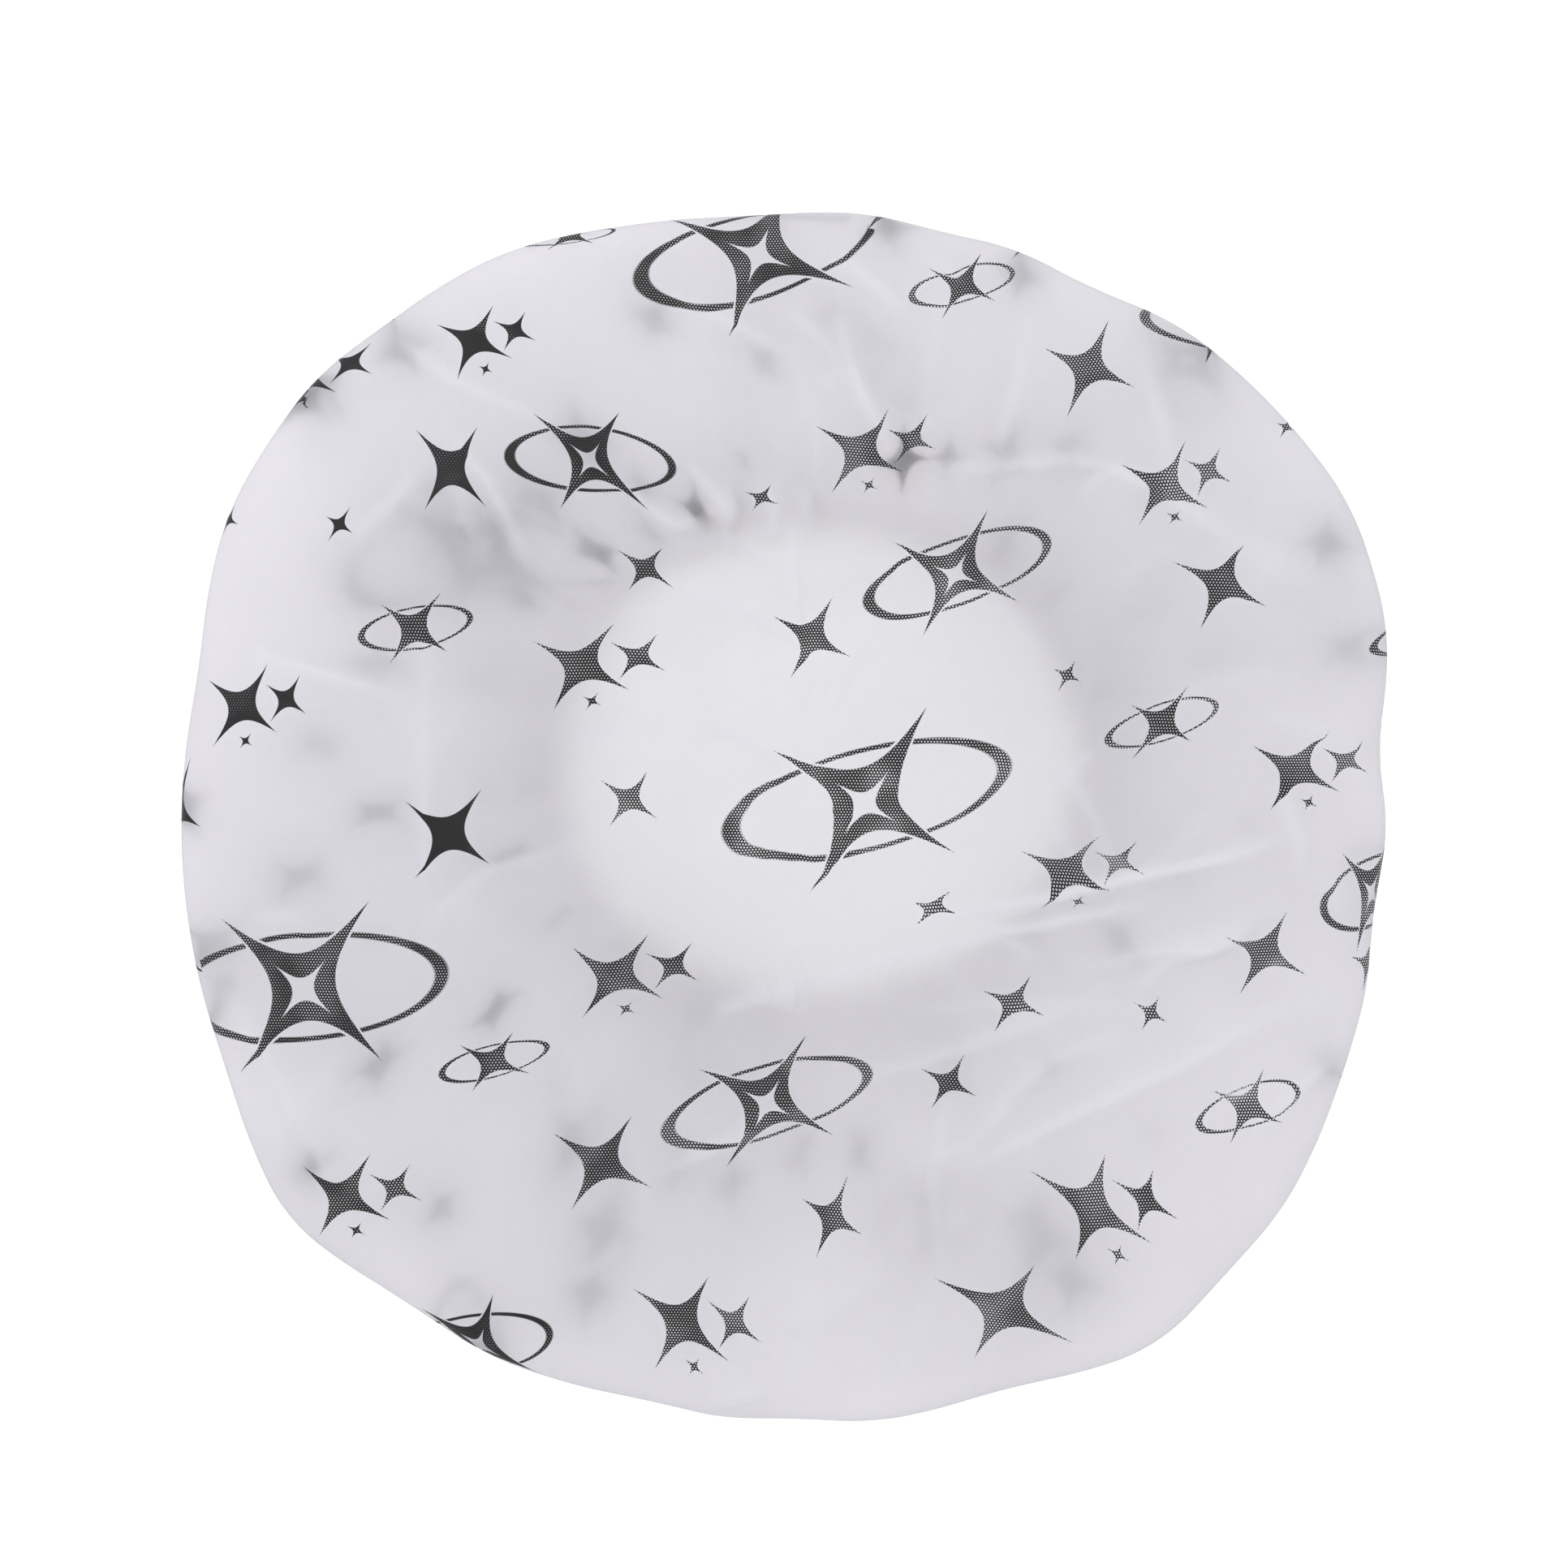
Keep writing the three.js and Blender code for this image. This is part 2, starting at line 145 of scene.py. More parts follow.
# Billows of the crown: their place to the right and to the back and their reach as shares of half the
# cap's width, and how much they add to the crown's rise as a share of it
BILLOW_SHARES = (
    (-0.8, 0.05, 0.19, 0.16), (-0.6, 0.54, 0.2, 0.15), (-0.15, 0.78, 0.19, 0.17), (0.32, 0.72, 0.17, 0.14),
    (0.72, 0.42, 0.19, 0.16), (0.82, -0.04, 0.17, 0.14), (0.62, -0.5, 0.2, 0.16), (0.16, -0.8, 0.19, 0.15),
    (-0.28, -0.62, 0.15, 0.1), (-0.56, -0.62, 0.17, 0.15), (-0.7, -0.26, 0.16, 0.13),
)
BILLOW_UNITS = (half_width, half_width, half_width, 1)


def ramp(low, high, x):
    """0 below low, 1 above high, and a smooth S between them."""
    t = np.clip((x - low) / (high - low), 0, 1)
    return t * t * (3 - 2 * t)


def unit(turn):
    """The unit vector at a turn."""
    return np.array([math.cos(turn), math.sin(turn)])


def rim_radius(angle):
    """The outline's distance from the cap's middle: straight from corner to corner by angle, then the
    mean over ROUNDING_TURNS, which rounds the corners."""
    turns, shares = OUTLINE_SHARES.T
    near_turns = np.add.outer(np.degrees(angle), ROUNDING_TURNS)
    return half_width * np.interp(near_turns, turns, shares, period=360).mean(-1)


def random_wave(angle, lobes, rng):
    """A smooth random loop of values: sines of one to so many lobes round, of random size and turn."""
    waves = np.arange(1, lobes + 1)
    sizes = rng.normal(size=lobes) / math.sqrt(lobes)
    turns = rng.uniform(0, 2 * math.pi, lobes)
    return (sizes * np.sin(np.multiply.outer(angle, waves) + turns)).sum(-1)


def cut_corners(points, times):
    """Rounds an open line: each side gives way to its two points a quarter from its ends."""
    for _ in range(times):
        near, far = points[:-1], points[1:]
        cut = np.stack([near * 0.75 + far * 0.25, near * 0.25 + far * 0.75], axis=1)
        points = np.concatenate([points[:1], cut.reshape(-1, points.shape[1]), points[-1:]])
    return points


def film_section():
    """Rows from the crown's middle to the edge: share of the rim's radius, share of the way to the
    mouth, distance out from the mouth's ellipse, and height. The crown's rise is a power of 1 less a
    power of its radius, the skirt turns in by a quarter circle and climbs by a square, and the hem's
    corners are cut. Returns also which rows are the rim and the neck."""
    turn = np.linspace(0, math.pi / 2, CROWN_SAMPLES)
    fall = (1 - np.sin(turn) ** CROWN_FALL_POWER) ** CROWN_ROUND_POWER
    crown_z = RIM_HEIGHT + (CROWN_HEIGHT - RIM_HEIGHT) * fall
    crown = np.stack([np.sin(turn), 0 * turn, 0 * turn, crown_z], axis=1)
    share = 1 - np.cos(np.linspace(0, math.pi / 2, SKIRT_SAMPLES)[1:])
    turned = np.clip(1 - share / RIM_ROUND_SHARE, 0, 1)
    climbed = np.clip(1 - (1 - share) / NECK_RISE_SHARE, 0, 1)
    rounding = (RIM_HEIGHT - UNDER_HEIGHT) * (1 - np.sqrt(1 - turned ** 2))
    climb = (NECK_HEIGHT - UNDER_HEIGHT) * climbed ** 2
    neck_out = (SEAM_HALF + CASING_HALF) / 2
    under_z = UNDER_HEIGHT + rounding + climb
    under = np.stack([1 + 0 * share, share, neck_out + 0 * share, under_z], axis=1)
    shoulder = band_high[2] + SEAM_HALF
    wall = [(SEAM_HALF, seam_height + SEAM_REACH), (SEAM_HALF, seam_height - SEAM_REACH),
            (CASING_HALF, shoulder), (CASING_HALF, FOOT_RISE), (FOOT_HALF, LEAST_HEIGHT)]
    inner_wall = [(-out, height) for out, height in reversed(wall)]
    edge = [(-2 * SEAM_HALF, seam_height + EDGE_RISE)]
    hem = cut_corners(np.array([(neck_out, NECK_HEIGHT), *wall, *inner_wall, *edge]), HEM_ROUNDINGS)[1:]
    hem = np.column_stack([np.ones((len(hem), 2)), hem])
    return np.concatenate([crown, under, hem]), len(crown) - 1, len(crown) + len(under) - 1


def arc_lengths(rows):
    """The distance along the section, where the rim and the mouth are as wide as on average."""
    radius = rows[:, 0] * (1 - rows[:, 1]) * half_width * OUTLINE_SHARES[:, 1].mean()
    radius = radius + rows[:, 1] * (mouth_reach[:2].mean() + rows[:, 2])
    steps = np.hypot(np.diff(radius), np.diff(rows[:, 3]))
    return np.concatenate([[0], np.cumsum(steps)])


rough_rows, rim_row, neck_row = film_section()
rough_arcs = arc_lengths(rough_rows)
rim_arc, neck_arc, edge_arc = rough_arcs[[rim_row, neck_row, -1]]
row_bands = np.array([
    (CROWN_STEP, CROWN_STEP), (rim_arc - RIM_REACH, RIM_STEP), (rim_arc + RIM_REACH, SKIRT_STEP),
    (neck_arc - NECK_REACH, RIM_STEP), (neck_arc, HEM_STEP), (edge_arc, HEM_STEP),
])
row_arcs = np.concatenate([
    np.linspace(start, end, round((end - start) / step), endpoint=False)
    for (start, step), end in zip(row_bands[:-1], row_bands[1:, 0])] + [[edge_arc]])
rim_share, mouth_share, hem_out, row_height = (
    np.interp(row_arcs, rough_arcs, column)[:, None] for column in rough_rows.T)
column_angles = np.arange(COLUMNS) * 2 * math.pi / COLUMNS
arc, angle = np.meshgrid(row_arcs, column_angles, indexing="ij")
outward = np.stack([np.cos(angle), np.sin(angle), 0 * angle], axis=-1)
disc = arc[..., None] * outward[..., :2]


def smooth_film():
    """The film without its folds: each row lies between the rim and the mouth's ellipse, by its share."""
    rim = rim_radius(angle)[..., None] * outward[..., :2]
    mouth = mouth_middle[:2] + (mouth_reach[:2] + hem_out[..., None]) * outward[..., :2]
    plan = rim_share[..., None] * (1 - mouth_share[..., None]) * rim + mouth_share[..., None] * mouth
    return np.concatenate([plan, np.broadcast_to(row_height[..., None], (*angle.shape, 1))], axis=-1)


def facing(points):
    """Unit normals out of the printed face: the cross product of steps along the section and round."""
    around = np.roll(points, -1, axis=1) - np.roll(points, 1, axis=1)
    normal = np.cross(np.gradient(points, axis=0), around)
    return normal / np.linalg.norm(normal, axis=-1, keepdims=True)


# Pleats: how many go round, how far their lines wander, how high they stand, how much their sizes
# vary and between which ends, and between which distances from the neck they rise and die out
FINE_PLEATS = (92, 1.8, 0.0017, 0.45, (0.3, 1.7), (-0.004, 0.001, 0.008, 0.026))
WIDE_PLEATS = (
    (47, 1.5, 0.0021, 0.5, (0.2, 1.9), (0.003, 0.014, 0.026, 0.058)),
    (24, 1.2, 0.0021, 0.5, (0.2, 1.9), (0.014, 0.034, 0.050, 0.084)),
)
PLEAT_CRISPNESS = 0.94
SLANT_LOBES = 9
SLANT_REACH = 0.03

# Flutes of the casing's walls, the pinched seam's sway, the free edge's frill and the rim's sway, with
# shifts in radians from the fine pleats
FLUTE_OUT = 0.0038
FLUTE_IN = 0.0022
FLUTE_SHIFT = 2.2
PINCH_SHARES = (0.2, 0.7)
SEAM_SWAY = 0.0009
EDGE_FRILL = 0.003
EDGE_REACH = 0.004
FRILL_SHIFT = 0.8
RIM_SWAY = 0.0016
RIM_SWAY_REACH = 0.03
RIM_SWAY_LOBES = 16

# How far past the rim the crown's folds die out, how far past it and how near the neck the skirt may
# rise, the gap it leaves under the crown, and how contact from one closeness to another clears it
CROWN_FADE = np.array([-0.010, 0.004])
LIFT_START = np.array([0.004, 0.014])
LIFT_END = 0.004
CONTACT_GAP = 0.0008
CONTACT_CLOSENESS = (0.88, 1.04)
CONTACT_CLEARING = 0.5

# Creases: how round a crest is as a share of its half width, how far it leans to the right and the
# back for its height, how high the whitest one stands, and how far its white reaches. That white is
# partly the film's own whitening where it is creased and partly a painted highlight along the crease.
CREST_ROUNDNESS = 0.15
CREASE_LEAN = (0.65, -1.0)
WHITEST_CREASE = 0.0014
WHITE_AND_HIGHLIGHT_HALF_WIDTH = 0.0015
SHAPE_SEED = 41

# Places in the photograph where the skirt rises to the crown: across, down, radius, closeness
LIFTS_PX = (
    (1113, 570, 120, 1.05), (806, 395, 90, 0.66), (942, 455, 100, 0.68), (715, 535, 140, 0.72),
    (569, 666, 130, 0.52), (610, 690, 110, 0.52), (655, 735, 80, 0.6), (710, 655, 100, 0.76),
    (744, 694, 90, 0.94), (800, 640, 90, 0.76), (857, 636, 90, 1), (905, 648, 70, 1),
    (914, 570, 60, 0.76), (1004, 632, 70, 0.98), (765, 590, 90, 0.7), (1241, 555, 140, 0.7),
    (1235, 671, 120, 0.62), (1275, 739, 100, 0.7), (677, 745, 70, 0.76), (468, 818, 110, 0.64),
    (475, 999, 90, 0.78), (631, 1050, 80, 0.71), (693, 1129, 70, 0.76), (614, 1241, 110, 0.88),
    (468, 1309, 90, 0.72), (716, 1394, 160, 0.52), (742, 1540, 170, 0.4), (868, 1450, 120, 0.6),
    (1015, 1428, 130, 0.62), (1270, 1518, 160, 0.42), (1320, 1574, 100, 0.43), (1376, 1157, 130, 0.7),
    (1292, 1309, 80, 0.66), (375, 490, 90, 1), (502, 434, 100, 0.72), (1094, 282, 60, 1),
    (1252, 344, 90, 0.7), (1630, 671, 100, 0.62), (383, 1439, 60, 0.95), (547, 1484, 80, 0.7),
    (1636, 1315, 70, 0.76), (372, 1080, 90, 0.58),
)
LIFT_JOINING = 8

# Creases in the crown: points across and down in the photograph, then the height and half width in
# tenths of a millimetre
TENTHS_IN_METRE = 10000
CREASES_PX = (
    (((524, 762), (521, 900), (520, 1010), (526, 1110)), 10, 18),
    (((1151, 579), (1320, 562), (1421, 592), (1467, 626), (1568, 694), (1700, 768)), 14, 24),
    (((1430, 590), (1540, 660), (1690, 745)), 10, 20),
    (((1405, 434), (1430, 520), (1450, 600)), 10, 30),
    (((1590, 1030), (1500, 1055), (1309, 1096), (1180, 1126), (1120, 1140)), 18, 22),
    (((1420, 1110), (1309, 1130), (1151, 1160), (1060, 1185), (959, 1224)), 14, 30),
    (((993, 1202), (940, 1222), (880, 1245)), 12, 18),
    (((1579, 965), (1600, 1030), (1612, 1080)), 14, 18),
    (((1612, 1080), (1640, 1090), (1660, 1130)), 10, 18),
    (((1320, 1200), (1450, 1160), (1579, 1123)), 9, 18),
    (((1179, 1444), (1297, 1382), (1455, 1309), (1568, 1247), (1650, 1232)), 14, 24),
    (((1241, 1337), (1300, 1300), (1390, 1275)), 9, 18),
    (((1195, 1415), (1250, 1340), (1310, 1290)), 9, 18),
    (((1120, 1440), (1180, 1420), (1240, 1370)), 8, 18),
    (((1050, 1330), (1180, 1290), (1300, 1250), (1400, 1200)), 9, 26),
    (((1380, 1240), (1440, 1180), (1540, 1150)), 9, 20),
    (((1660, 1280), (1600, 1340), (1540, 1400)), 12, 24),
    (((976, 640), (978, 700), (985, 780)), 9, 18),
    (((812, 683), (870, 664), (930, 655), (985, 652)), 5, 20),
    (((870, 650), (905, 665), (975, 700)), 8, 16),
    (((812, 717), (900, 740), (970, 784), (1021, 852)), 9, 22),
    (((852, 886), (905, 905), (959, 942)), 9, 26),
    (((423, 666), (480, 615), (524, 559)), 10, 24),
    (((479, 406), (552, 463), (677, 519)), 11, 24),
    (((540, 520), (600, 590), (650, 690)), 10, 24),
    (((770, 600), (820, 640), (870, 650)), 11, 14),
    (((846, 570), (880, 605), (905, 650)), 11, 14),
    (((890, 590), (900, 620), (890, 655)), 10, 12),
    (((945, 590), (955, 630), (950, 665)), 8, 14),
    (((1000, 600), (990, 625), (1005, 650)), 8, 14),
    (((960, 1200), (975, 1215), (970, 1240)), 9, 14),
    (((925, 1205), (955, 1230), (1000, 1236)), 9, 14),
    (((812, 355), (900, 395), (993, 446)), 9, 22),
    (((970, 384), (1010, 410), (1038, 446)), 8, 16),
    (((1560, 880), (1620, 900), (1690, 925)), 12, 24),
    (((860, 1740), (950, 1718)), 14, 18),
    (((270, 1213), (349, 1349), (423, 1473)), 10, 28),
    (((993, 1653), (1040, 1600), (1083, 1563)), 9, 26),
    (((230, 1480), (330, 1400), (420, 1300)), 8, 30),
)
# Spare creases: how many, how long, high and wide they are, how far they veer from the way out, how
# much they bend, and between which shares of the crown's area they lie
SPARE_CREASES = 80
SPARE_CREASE_PX = (60, 260)
SPARE_CREASE_RISE = 0.0005
SPARE_CREASE_HALF = (0.0015, 0.004)
SPARE_CREASE_VEER = 0.6
SPARE_CREASE_BEND = 0.15
SPARE_CREASE_AREA = (0.02, 0.96)
# Swells of the crown: lengths and heights, and how many waves of each
SWELLS = ((0.055, 0.0003), (0.034, 0.0004), (0.02, 0.0002))
SWELL_WAVES = 4


def near_line(px, line):
    """How far pixels lie from a line of points, and how far along it they lie, as a share."""
    line = np.array(line, float)
    passed = np.concatenate([[0], np.cumsum(np.linalg.norm(np.diff(line, axis=0), axis=1))])
    nearest = np.full(px.shape[:-1], np.inf)
    share = np.zeros(px.shape[:-1])
    for start, run, near_end, far_end in zip(line[:-1], np.diff(line, axis=0), passed[:-1], passed[1:]):
        along = np.clip((px - start) @ run / (run @ run), 0, 1)
        away = np.linalg.norm(px - start - along[..., None] * run, axis=-1)
        share = np.where(away < nearest, (near_end + along * (far_end - near_end)) / passed[-1], share)
        nearest = np.minimum(nearest, away)
    return nearest, share


def bells(points, places):
    """One layer for each place: its height times a bell of its radius."""
    return [height * np.exp(-(np.linalg.norm(points - middle, axis=-1) / radius) ** 2)
            for *middle, radius, height in places]


def spare_creases(rng):
    """Creases at random over the crown, bent at their middle and heading roughly towards the rim."""
    for _ in range(SPARE_CREASES):
        turn = rng.uniform(0, 2 * math.pi)
        heading = turn + rng.normal(0, SPARE_CREASE_VEER)
        out = OUTLINE_PX / 2 * math.sqrt(rng.uniform(*SPARE_CREASE_AREA))
        middle = np.array(CAP_MIDDLE_PX) + out * unit(turn)
        half = rng.uniform(*SPARE_CREASE_PX) / 2 * unit(heading)
        bend = rng.normal(0, SPARE_CREASE_BEND) * np.array([-half[1], half[0]])
        height = rng.normal(0, SPARE_CREASE_RISE)
        yield (middle - half, middle + bend, middle + half), height, rng.uniform(*SPARE_CREASE_HALF)


def pleat_phase(count, wander, rng):
    """The turn of a ring of pleats: even, with a wander that bunches and spreads them."""
    return count * angle + wander * random_wave(angle, count // 2, rng)


def pleat_sizes(count, spread, ends, rng):
    """The sizes of a ring's pleats: 1 plus a random wave, kept between two ends."""
    return np.clip(1 + spread * random_wave(angle, count // 2, rng), *ends)


def pleat_wave(phase):
    """A wave between -1 and 1 with flat sides, and crests that are nearly creases: the arc sine of a
    cosine that stops short of 1."""
    return np.arcsin(PLEAT_CRISPNESS * np.cos(phase)) / math.asin(PLEAT_CRISPNESS)


def pleat_reach(from_neck, start, full, fade, end):
    """How fully a ring of pleats stands: it rises from start to full and dies out from fade to end."""
    return ramp(start, full, from_neck) * (1 - ramp(fade, end, from_neck))


def pleat_heights(from_neck, rng):
    """How high the pleats stand: each ring's height times its sizes, its reach and its wave, and the
    wide rings slant. Returns them with the phase and the sizes of the fine ring."""
    count, wander, height, spread, ends, reach = FINE_PLEATS
    phase = pleat_phase(count, wander, rng)
    sizes = pleat_sizes(count, spread, ends, rng)
    pleats = height * sizes * pleat_reach(from_neck, *reach) * pleat_wave(phase)
    for count, wander, height, spread, ends, reach in WIDE_PLEATS:
        slant = random_wave(angle, SLANT_LOBES, rng) * from_neck / SLANT_REACH
        wide_sizes = pleat_sizes(count, spread, ends, rng)
        wide_wave = pleat_wave(pleat_phase(count, wander, rng) + slant)
        pleats = pleats + height * pleat_reach(from_neck, *reach) * wide_sizes * wide_wave
    return pleats, phase, sizes


def hem_moves(phase, sizes):
    """How far the hem's points move outwards: the casing's walls swell in flutes away from the band, by
    the square of how far out they are, the pinched seam sways, and the free edge frills inwards."""
    in_hem = mouth_share >= 1
    wall = np.clip(hem_out / CASING_HALF, -1, 1) * in_hem
    outer = FLUTE_OUT * (1 + pleat_wave(phase))
    inner = FLUTE_IN * (1 + pleat_wave(phase + FLUTE_SHIFT))
    flute = np.where(wall > 0, outer, inner) / 2
    pinch = (1 - ramp(*PINCH_SHARES, np.abs(wall))) * in_hem
    at_edge = ramp(edge_arc - EDGE_REACH, edge_arc, arc)
    frill = EDGE_FRILL * at_edge * (1 + pleat_wave(phase + FRILL_SHIFT)) / 2
    return wall * np.abs(wall) * flute * sizes + SEAM_SWAY * pinch * pleat_wave(phase) - frill


def crown_relief(px, rng):
    """The crown's height from its creases, with and without random swells, and how white the creases are,
    which is partly the film's whitening and partly a painted highlight. Each ridge dies out exponentially
    sideways and by a half ellipse towards both ends. Swells are sines, and the white is a bell across the
    crease."""
    relief = 0
    white = 0
    seen = [(line, height / TENTHS_IN_METRE, half / TENTHS_IN_METRE) for line, height, half in CREASES_PX]
    for line, height, half_crease in (*seen, *spare_creases(rng)):
        away, share = near_line(px, line)
        reach = away * px_size / half_crease
        taper = np.sqrt(np.maximum(4 * share * (1 - share), 0))
        relief = relief + height * taper * np.exp(-np.sqrt(reach ** 2 + CREST_ROUNDNESS ** 2))
        line_white_and_highlight = abs(height) / WHITEST_CREASE * taper * np.exp(-(away * px_size / WHITE_AND_HIGHLIGHT_HALF_WIDTH) ** 2)
        white = np.maximum(white, line_white_and_highlight)
    creases = relief
    for length, height in SWELLS:
        for _ in range(SWELL_WAVES):
            heading, turn = rng.uniform(0, 2 * math.pi, 2)
            along = px @ unit(heading) * px_size
            relief = relief + height / 2 * np.sin(2 * math.pi * along / length + turn)
    return relief, creases, np.minimum(white, 1)


def film_points():
    """The film as it lies: the smooth shape with pleats, a fluted hem, a swaying rim, and a crown with
    billows and leaning creases. In lifted places the skirt goes its closeness's share of the way up to
    the crown. Returns the points, how white the film is, which along creases is partly painted
    highlight, and its lift."""
    rng = np.random.default_rng(SHAPE_SEED)
    points = smooth_film()
    px = photo_px(points)
    from_neck = neck_arc - arc
    pleats, phase, sizes = pleat_heights(from_neck, rng)
    points = points + facing(points) * pleats[..., None]
    points = points + outward * hem_moves(phase, sizes)[..., None]
    near_rim = np.exp(-((arc - rim_arc) / RIM_SWAY_REACH) ** 2)
    points[..., 2] += RIM_SWAY * near_rim * random_wave(angle, RIM_SWAY_LOBES, rng)

    relief, creases, white = crown_relief(px, rng)
    out = np.linalg.norm(points[..., :2], axis=-1) / rim_radius(np.arctan2(points[..., 1], points[..., 0]))
    crown_rise = np.interp(out, rough_rows[:rim_row + 1, 0], rough_rows[:rim_row + 1, 3]) - RIM_HEIGHT
    billows = crown_rise * sum(bells(points[..., :2], np.array(BILLOW_SHARES) * BILLOW_UNITS))
    on_crown = 1 - ramp(*(rim_arc + CROWN_FADE), arc)
    points[..., 2] += on_crown * relief + np.where(arc < rim_arc, billows, 0)
    points[..., :2] += (on_crown * creases)[..., None] * CREASE_LEAN
    ceiling = RIM_HEIGHT + crown_rise + billows + relief - CONTACT_GAP
    on_skirt = ramp(*(rim_arc + LIFT_START), arc) * ramp(0, LIFT_END, from_neck)
    closeness = sum(bell ** LIFT_JOINING for bell in bells(px, LIFTS_PX)) ** (1 / LIFT_JOINING)
    points[..., 2] += on_skirt * closeness * (ceiling - points[..., 2])
    under_crown = np.minimum(points[..., 2], ceiling)
    points[..., 2] = np.where(on_skirt > 0, under_crown, points[..., 2])
    points[..., 2] = np.maximum(points[..., 2], LEAST_HEIGHT)
    contact = ramp(*CONTACT_CLOSENESS, closeness)
    return points, on_crown * white - CONTACT_CLEARING * contact, on_skirt * closeness


film_grid, film_white_and_highlight, film_lift = film_points()


def floats(values):
    """Numbers in the one row that a mesh takes."""
    return np.asarray(values, np.float32).ravel()


def grid_mesh(name, points, first=None, last=None, closed=False):
    """A mesh on a grid whose rows are loops. A point may close the first or the last row, or closed
    joins the last row to the first. Returns it with its corners' vertices, its faces' first corners,
    and the grid row and column of each corner."""
    rows, columns = points.shape[:2]
    row, column = np.meshgrid(np.arange(rows if closed else rows - 1), np.arange(columns), indexing="ij")
    row, column = row.ravel(), column.ravel()
    corner_rows = np.stack([row, row + 1, row + 1, row], axis=-1).ravel()
    corner_columns = np.stack([column, column, column + 1, column + 1], axis=-1).ravel()
    vertices = points.reshape(-1, 3)
    loops = corner_rows % rows * columns + corner_columns % columns
    starts = np.arange(len(row)) * 4
    loop = np.arange(columns)
    for point, end_row, near, far in ((first, 0, loop, loop + 1), (last, rows - 1, loop + 1, loop)):
        if point is None:
            continue
        tip = np.full(columns, len(vertices))
        fan = np.stack([tip, end_row * columns + near % columns, end_row * columns + far % columns], axis=-1)
        starts = np.concatenate([starts, len(loops) + loop * 3])
        vertices = np.vstack([vertices, point])
        loops = np.concatenate([loops, fan.ravel()])
        corner_rows = np.concatenate([corner_rows, np.full(columns * 3, end_row)])
        corner_columns = np.concatenate([corner_columns, np.stack([near, near, far], axis=-1).ravel()])
    mesh = bpy.data.meshes.new(name)
    mesh.vertices.add(len(vertices))
    mesh.vertices.foreach_set("co", floats(vertices))
    mesh.loops.add(len(loops))
    mesh.loops.foreach_set("vertex_index", loops.astype(np.int32))
    mesh.polygons.add(len(starts))
    mesh.polygons.foreach_set("loop_start", starts.astype(np.int32))
    mesh.update(calc_edges=True)
    mesh.shade_smooth()
    return mesh, loops, starts, corner_rows, corner_columns


film_mesh, film_loops, film_starts, _, _ = grid_mesh(
    "printed_film", film_grid, first=(0, 0, film_grid[0, :, 2].mean()))
# How white the film is along creases: partly its whitening, partly a painted highlight
crease_white_and_highlight = film_mesh.attributes.new("white", "FLOAT", "POINT")
crease_white_and_highlight.data.foreach_set("value", floats(np.append(film_white_and_highlight, 0)))

# The print is black: stars of four points, some ringed, some hollow, some in threes. Each is placed
# by its middle in the photograph, and may give its arms to the lower right and the upper right.
STAR_ARMS_PX = {
    "ringed_hollow": (74, 36, 41, -74), "ringed": (43, 19.5, 25, -40.5), "trio": (55, 28, 37, -49),
    "big_star": (78, 36, 40, -62), "star": (46, 26, 33, -46), "small_star": (30, 15, 20, -32),
    "tiny_star": (16, 8, 11, -18),
}
CROWN_PRINTS_PX = {
    "ringed_hollow": (
        (1066, 987, 110, 62.5, 66.5, -108.5), (374, 1216, 96, 84, 76, -103),
        (934, 312, 112, 45, 35, -98), (1177, 706, 75, 34, 39, -76), (726, 565, 69, 58, 35, -57),
        (945, 1358, 79, 39, 47, -79), (590, 1656, 70, 40, 17, -59), (1505, 395, 76, 51, 20, -52),
        (1690, 1098, 40, 46, 24, -73)),
    "ringed": (
        (510, 774, 40, 29, 30, -43), (1185, 351, 40, 19, 24, -38), (1431, 891),
        (607, 1308, 42, 17, 25, -36), (1537, 1363), (702, 291, 30, 10, 27, -18),
        (1752, 778, 38, 17, 22, -40)),
    "trio": (
        (716, 820), (298, 870, 40, 31, 33, -49), (584, 420, 45, 20, 22, -44),
        (370, 463, 43, 20, 41, -48), (1060, 556, 52, 28, 35, -50), (1437, 602, 51, 25, 28, -50),
        (758, 1203, 56, 30, 40, -50), (1313, 1073, 54, 24, 35, -44), (423, 1474, 52, 32, 31, -49),
        (840, 1630, 57, 44, 32, -55), (1346, 1489, 73, 44, 18, -62), (1596, 948, 52, 28, 34, -48)),
    "star": (
        (555, 576, 42, 46, 32, -49), (1341, 453, 54, 23, 25, -58), (1505, 719, 56, 27, 25, -51),
        (552, 1027, 50, 37, 40, -53), (741, 1433, 59, 33, 36, -56), (1558, 1174, 49, 24, 28, -50),
        (1236, 1614, 82, 37, 36, -56), (214, 996, 34, 22, 22, -61), (212, 1180, 46, 20, 20, -40),
        (1685, 1187, 22, 9, 6, -33)),
    "small_star": (
        (1000, 784, 46, 25, 25, -49), (795, 700, 34, 23, 20, -25), (775, 985, 34, 23, 23, -33),
        (1150, 1118, 29, 7, 23, -22), (1248, 1235, 37, 15, 22, -34), (1169, 1334, 33, 16, 20, -32),
        (1025, 1500, 36, 21, 19, -50)),
    "tiny_star": (
        (418, 646, 16, 10, 14, -21), (938, 613, 20, 7, 11, -17), (1315, 832, 17, 8, 11, -20),
        (1418, 1248, 20, 12, 11, -21), (281, 640), (1585, 526, 12, 5, 7, -13)),
}
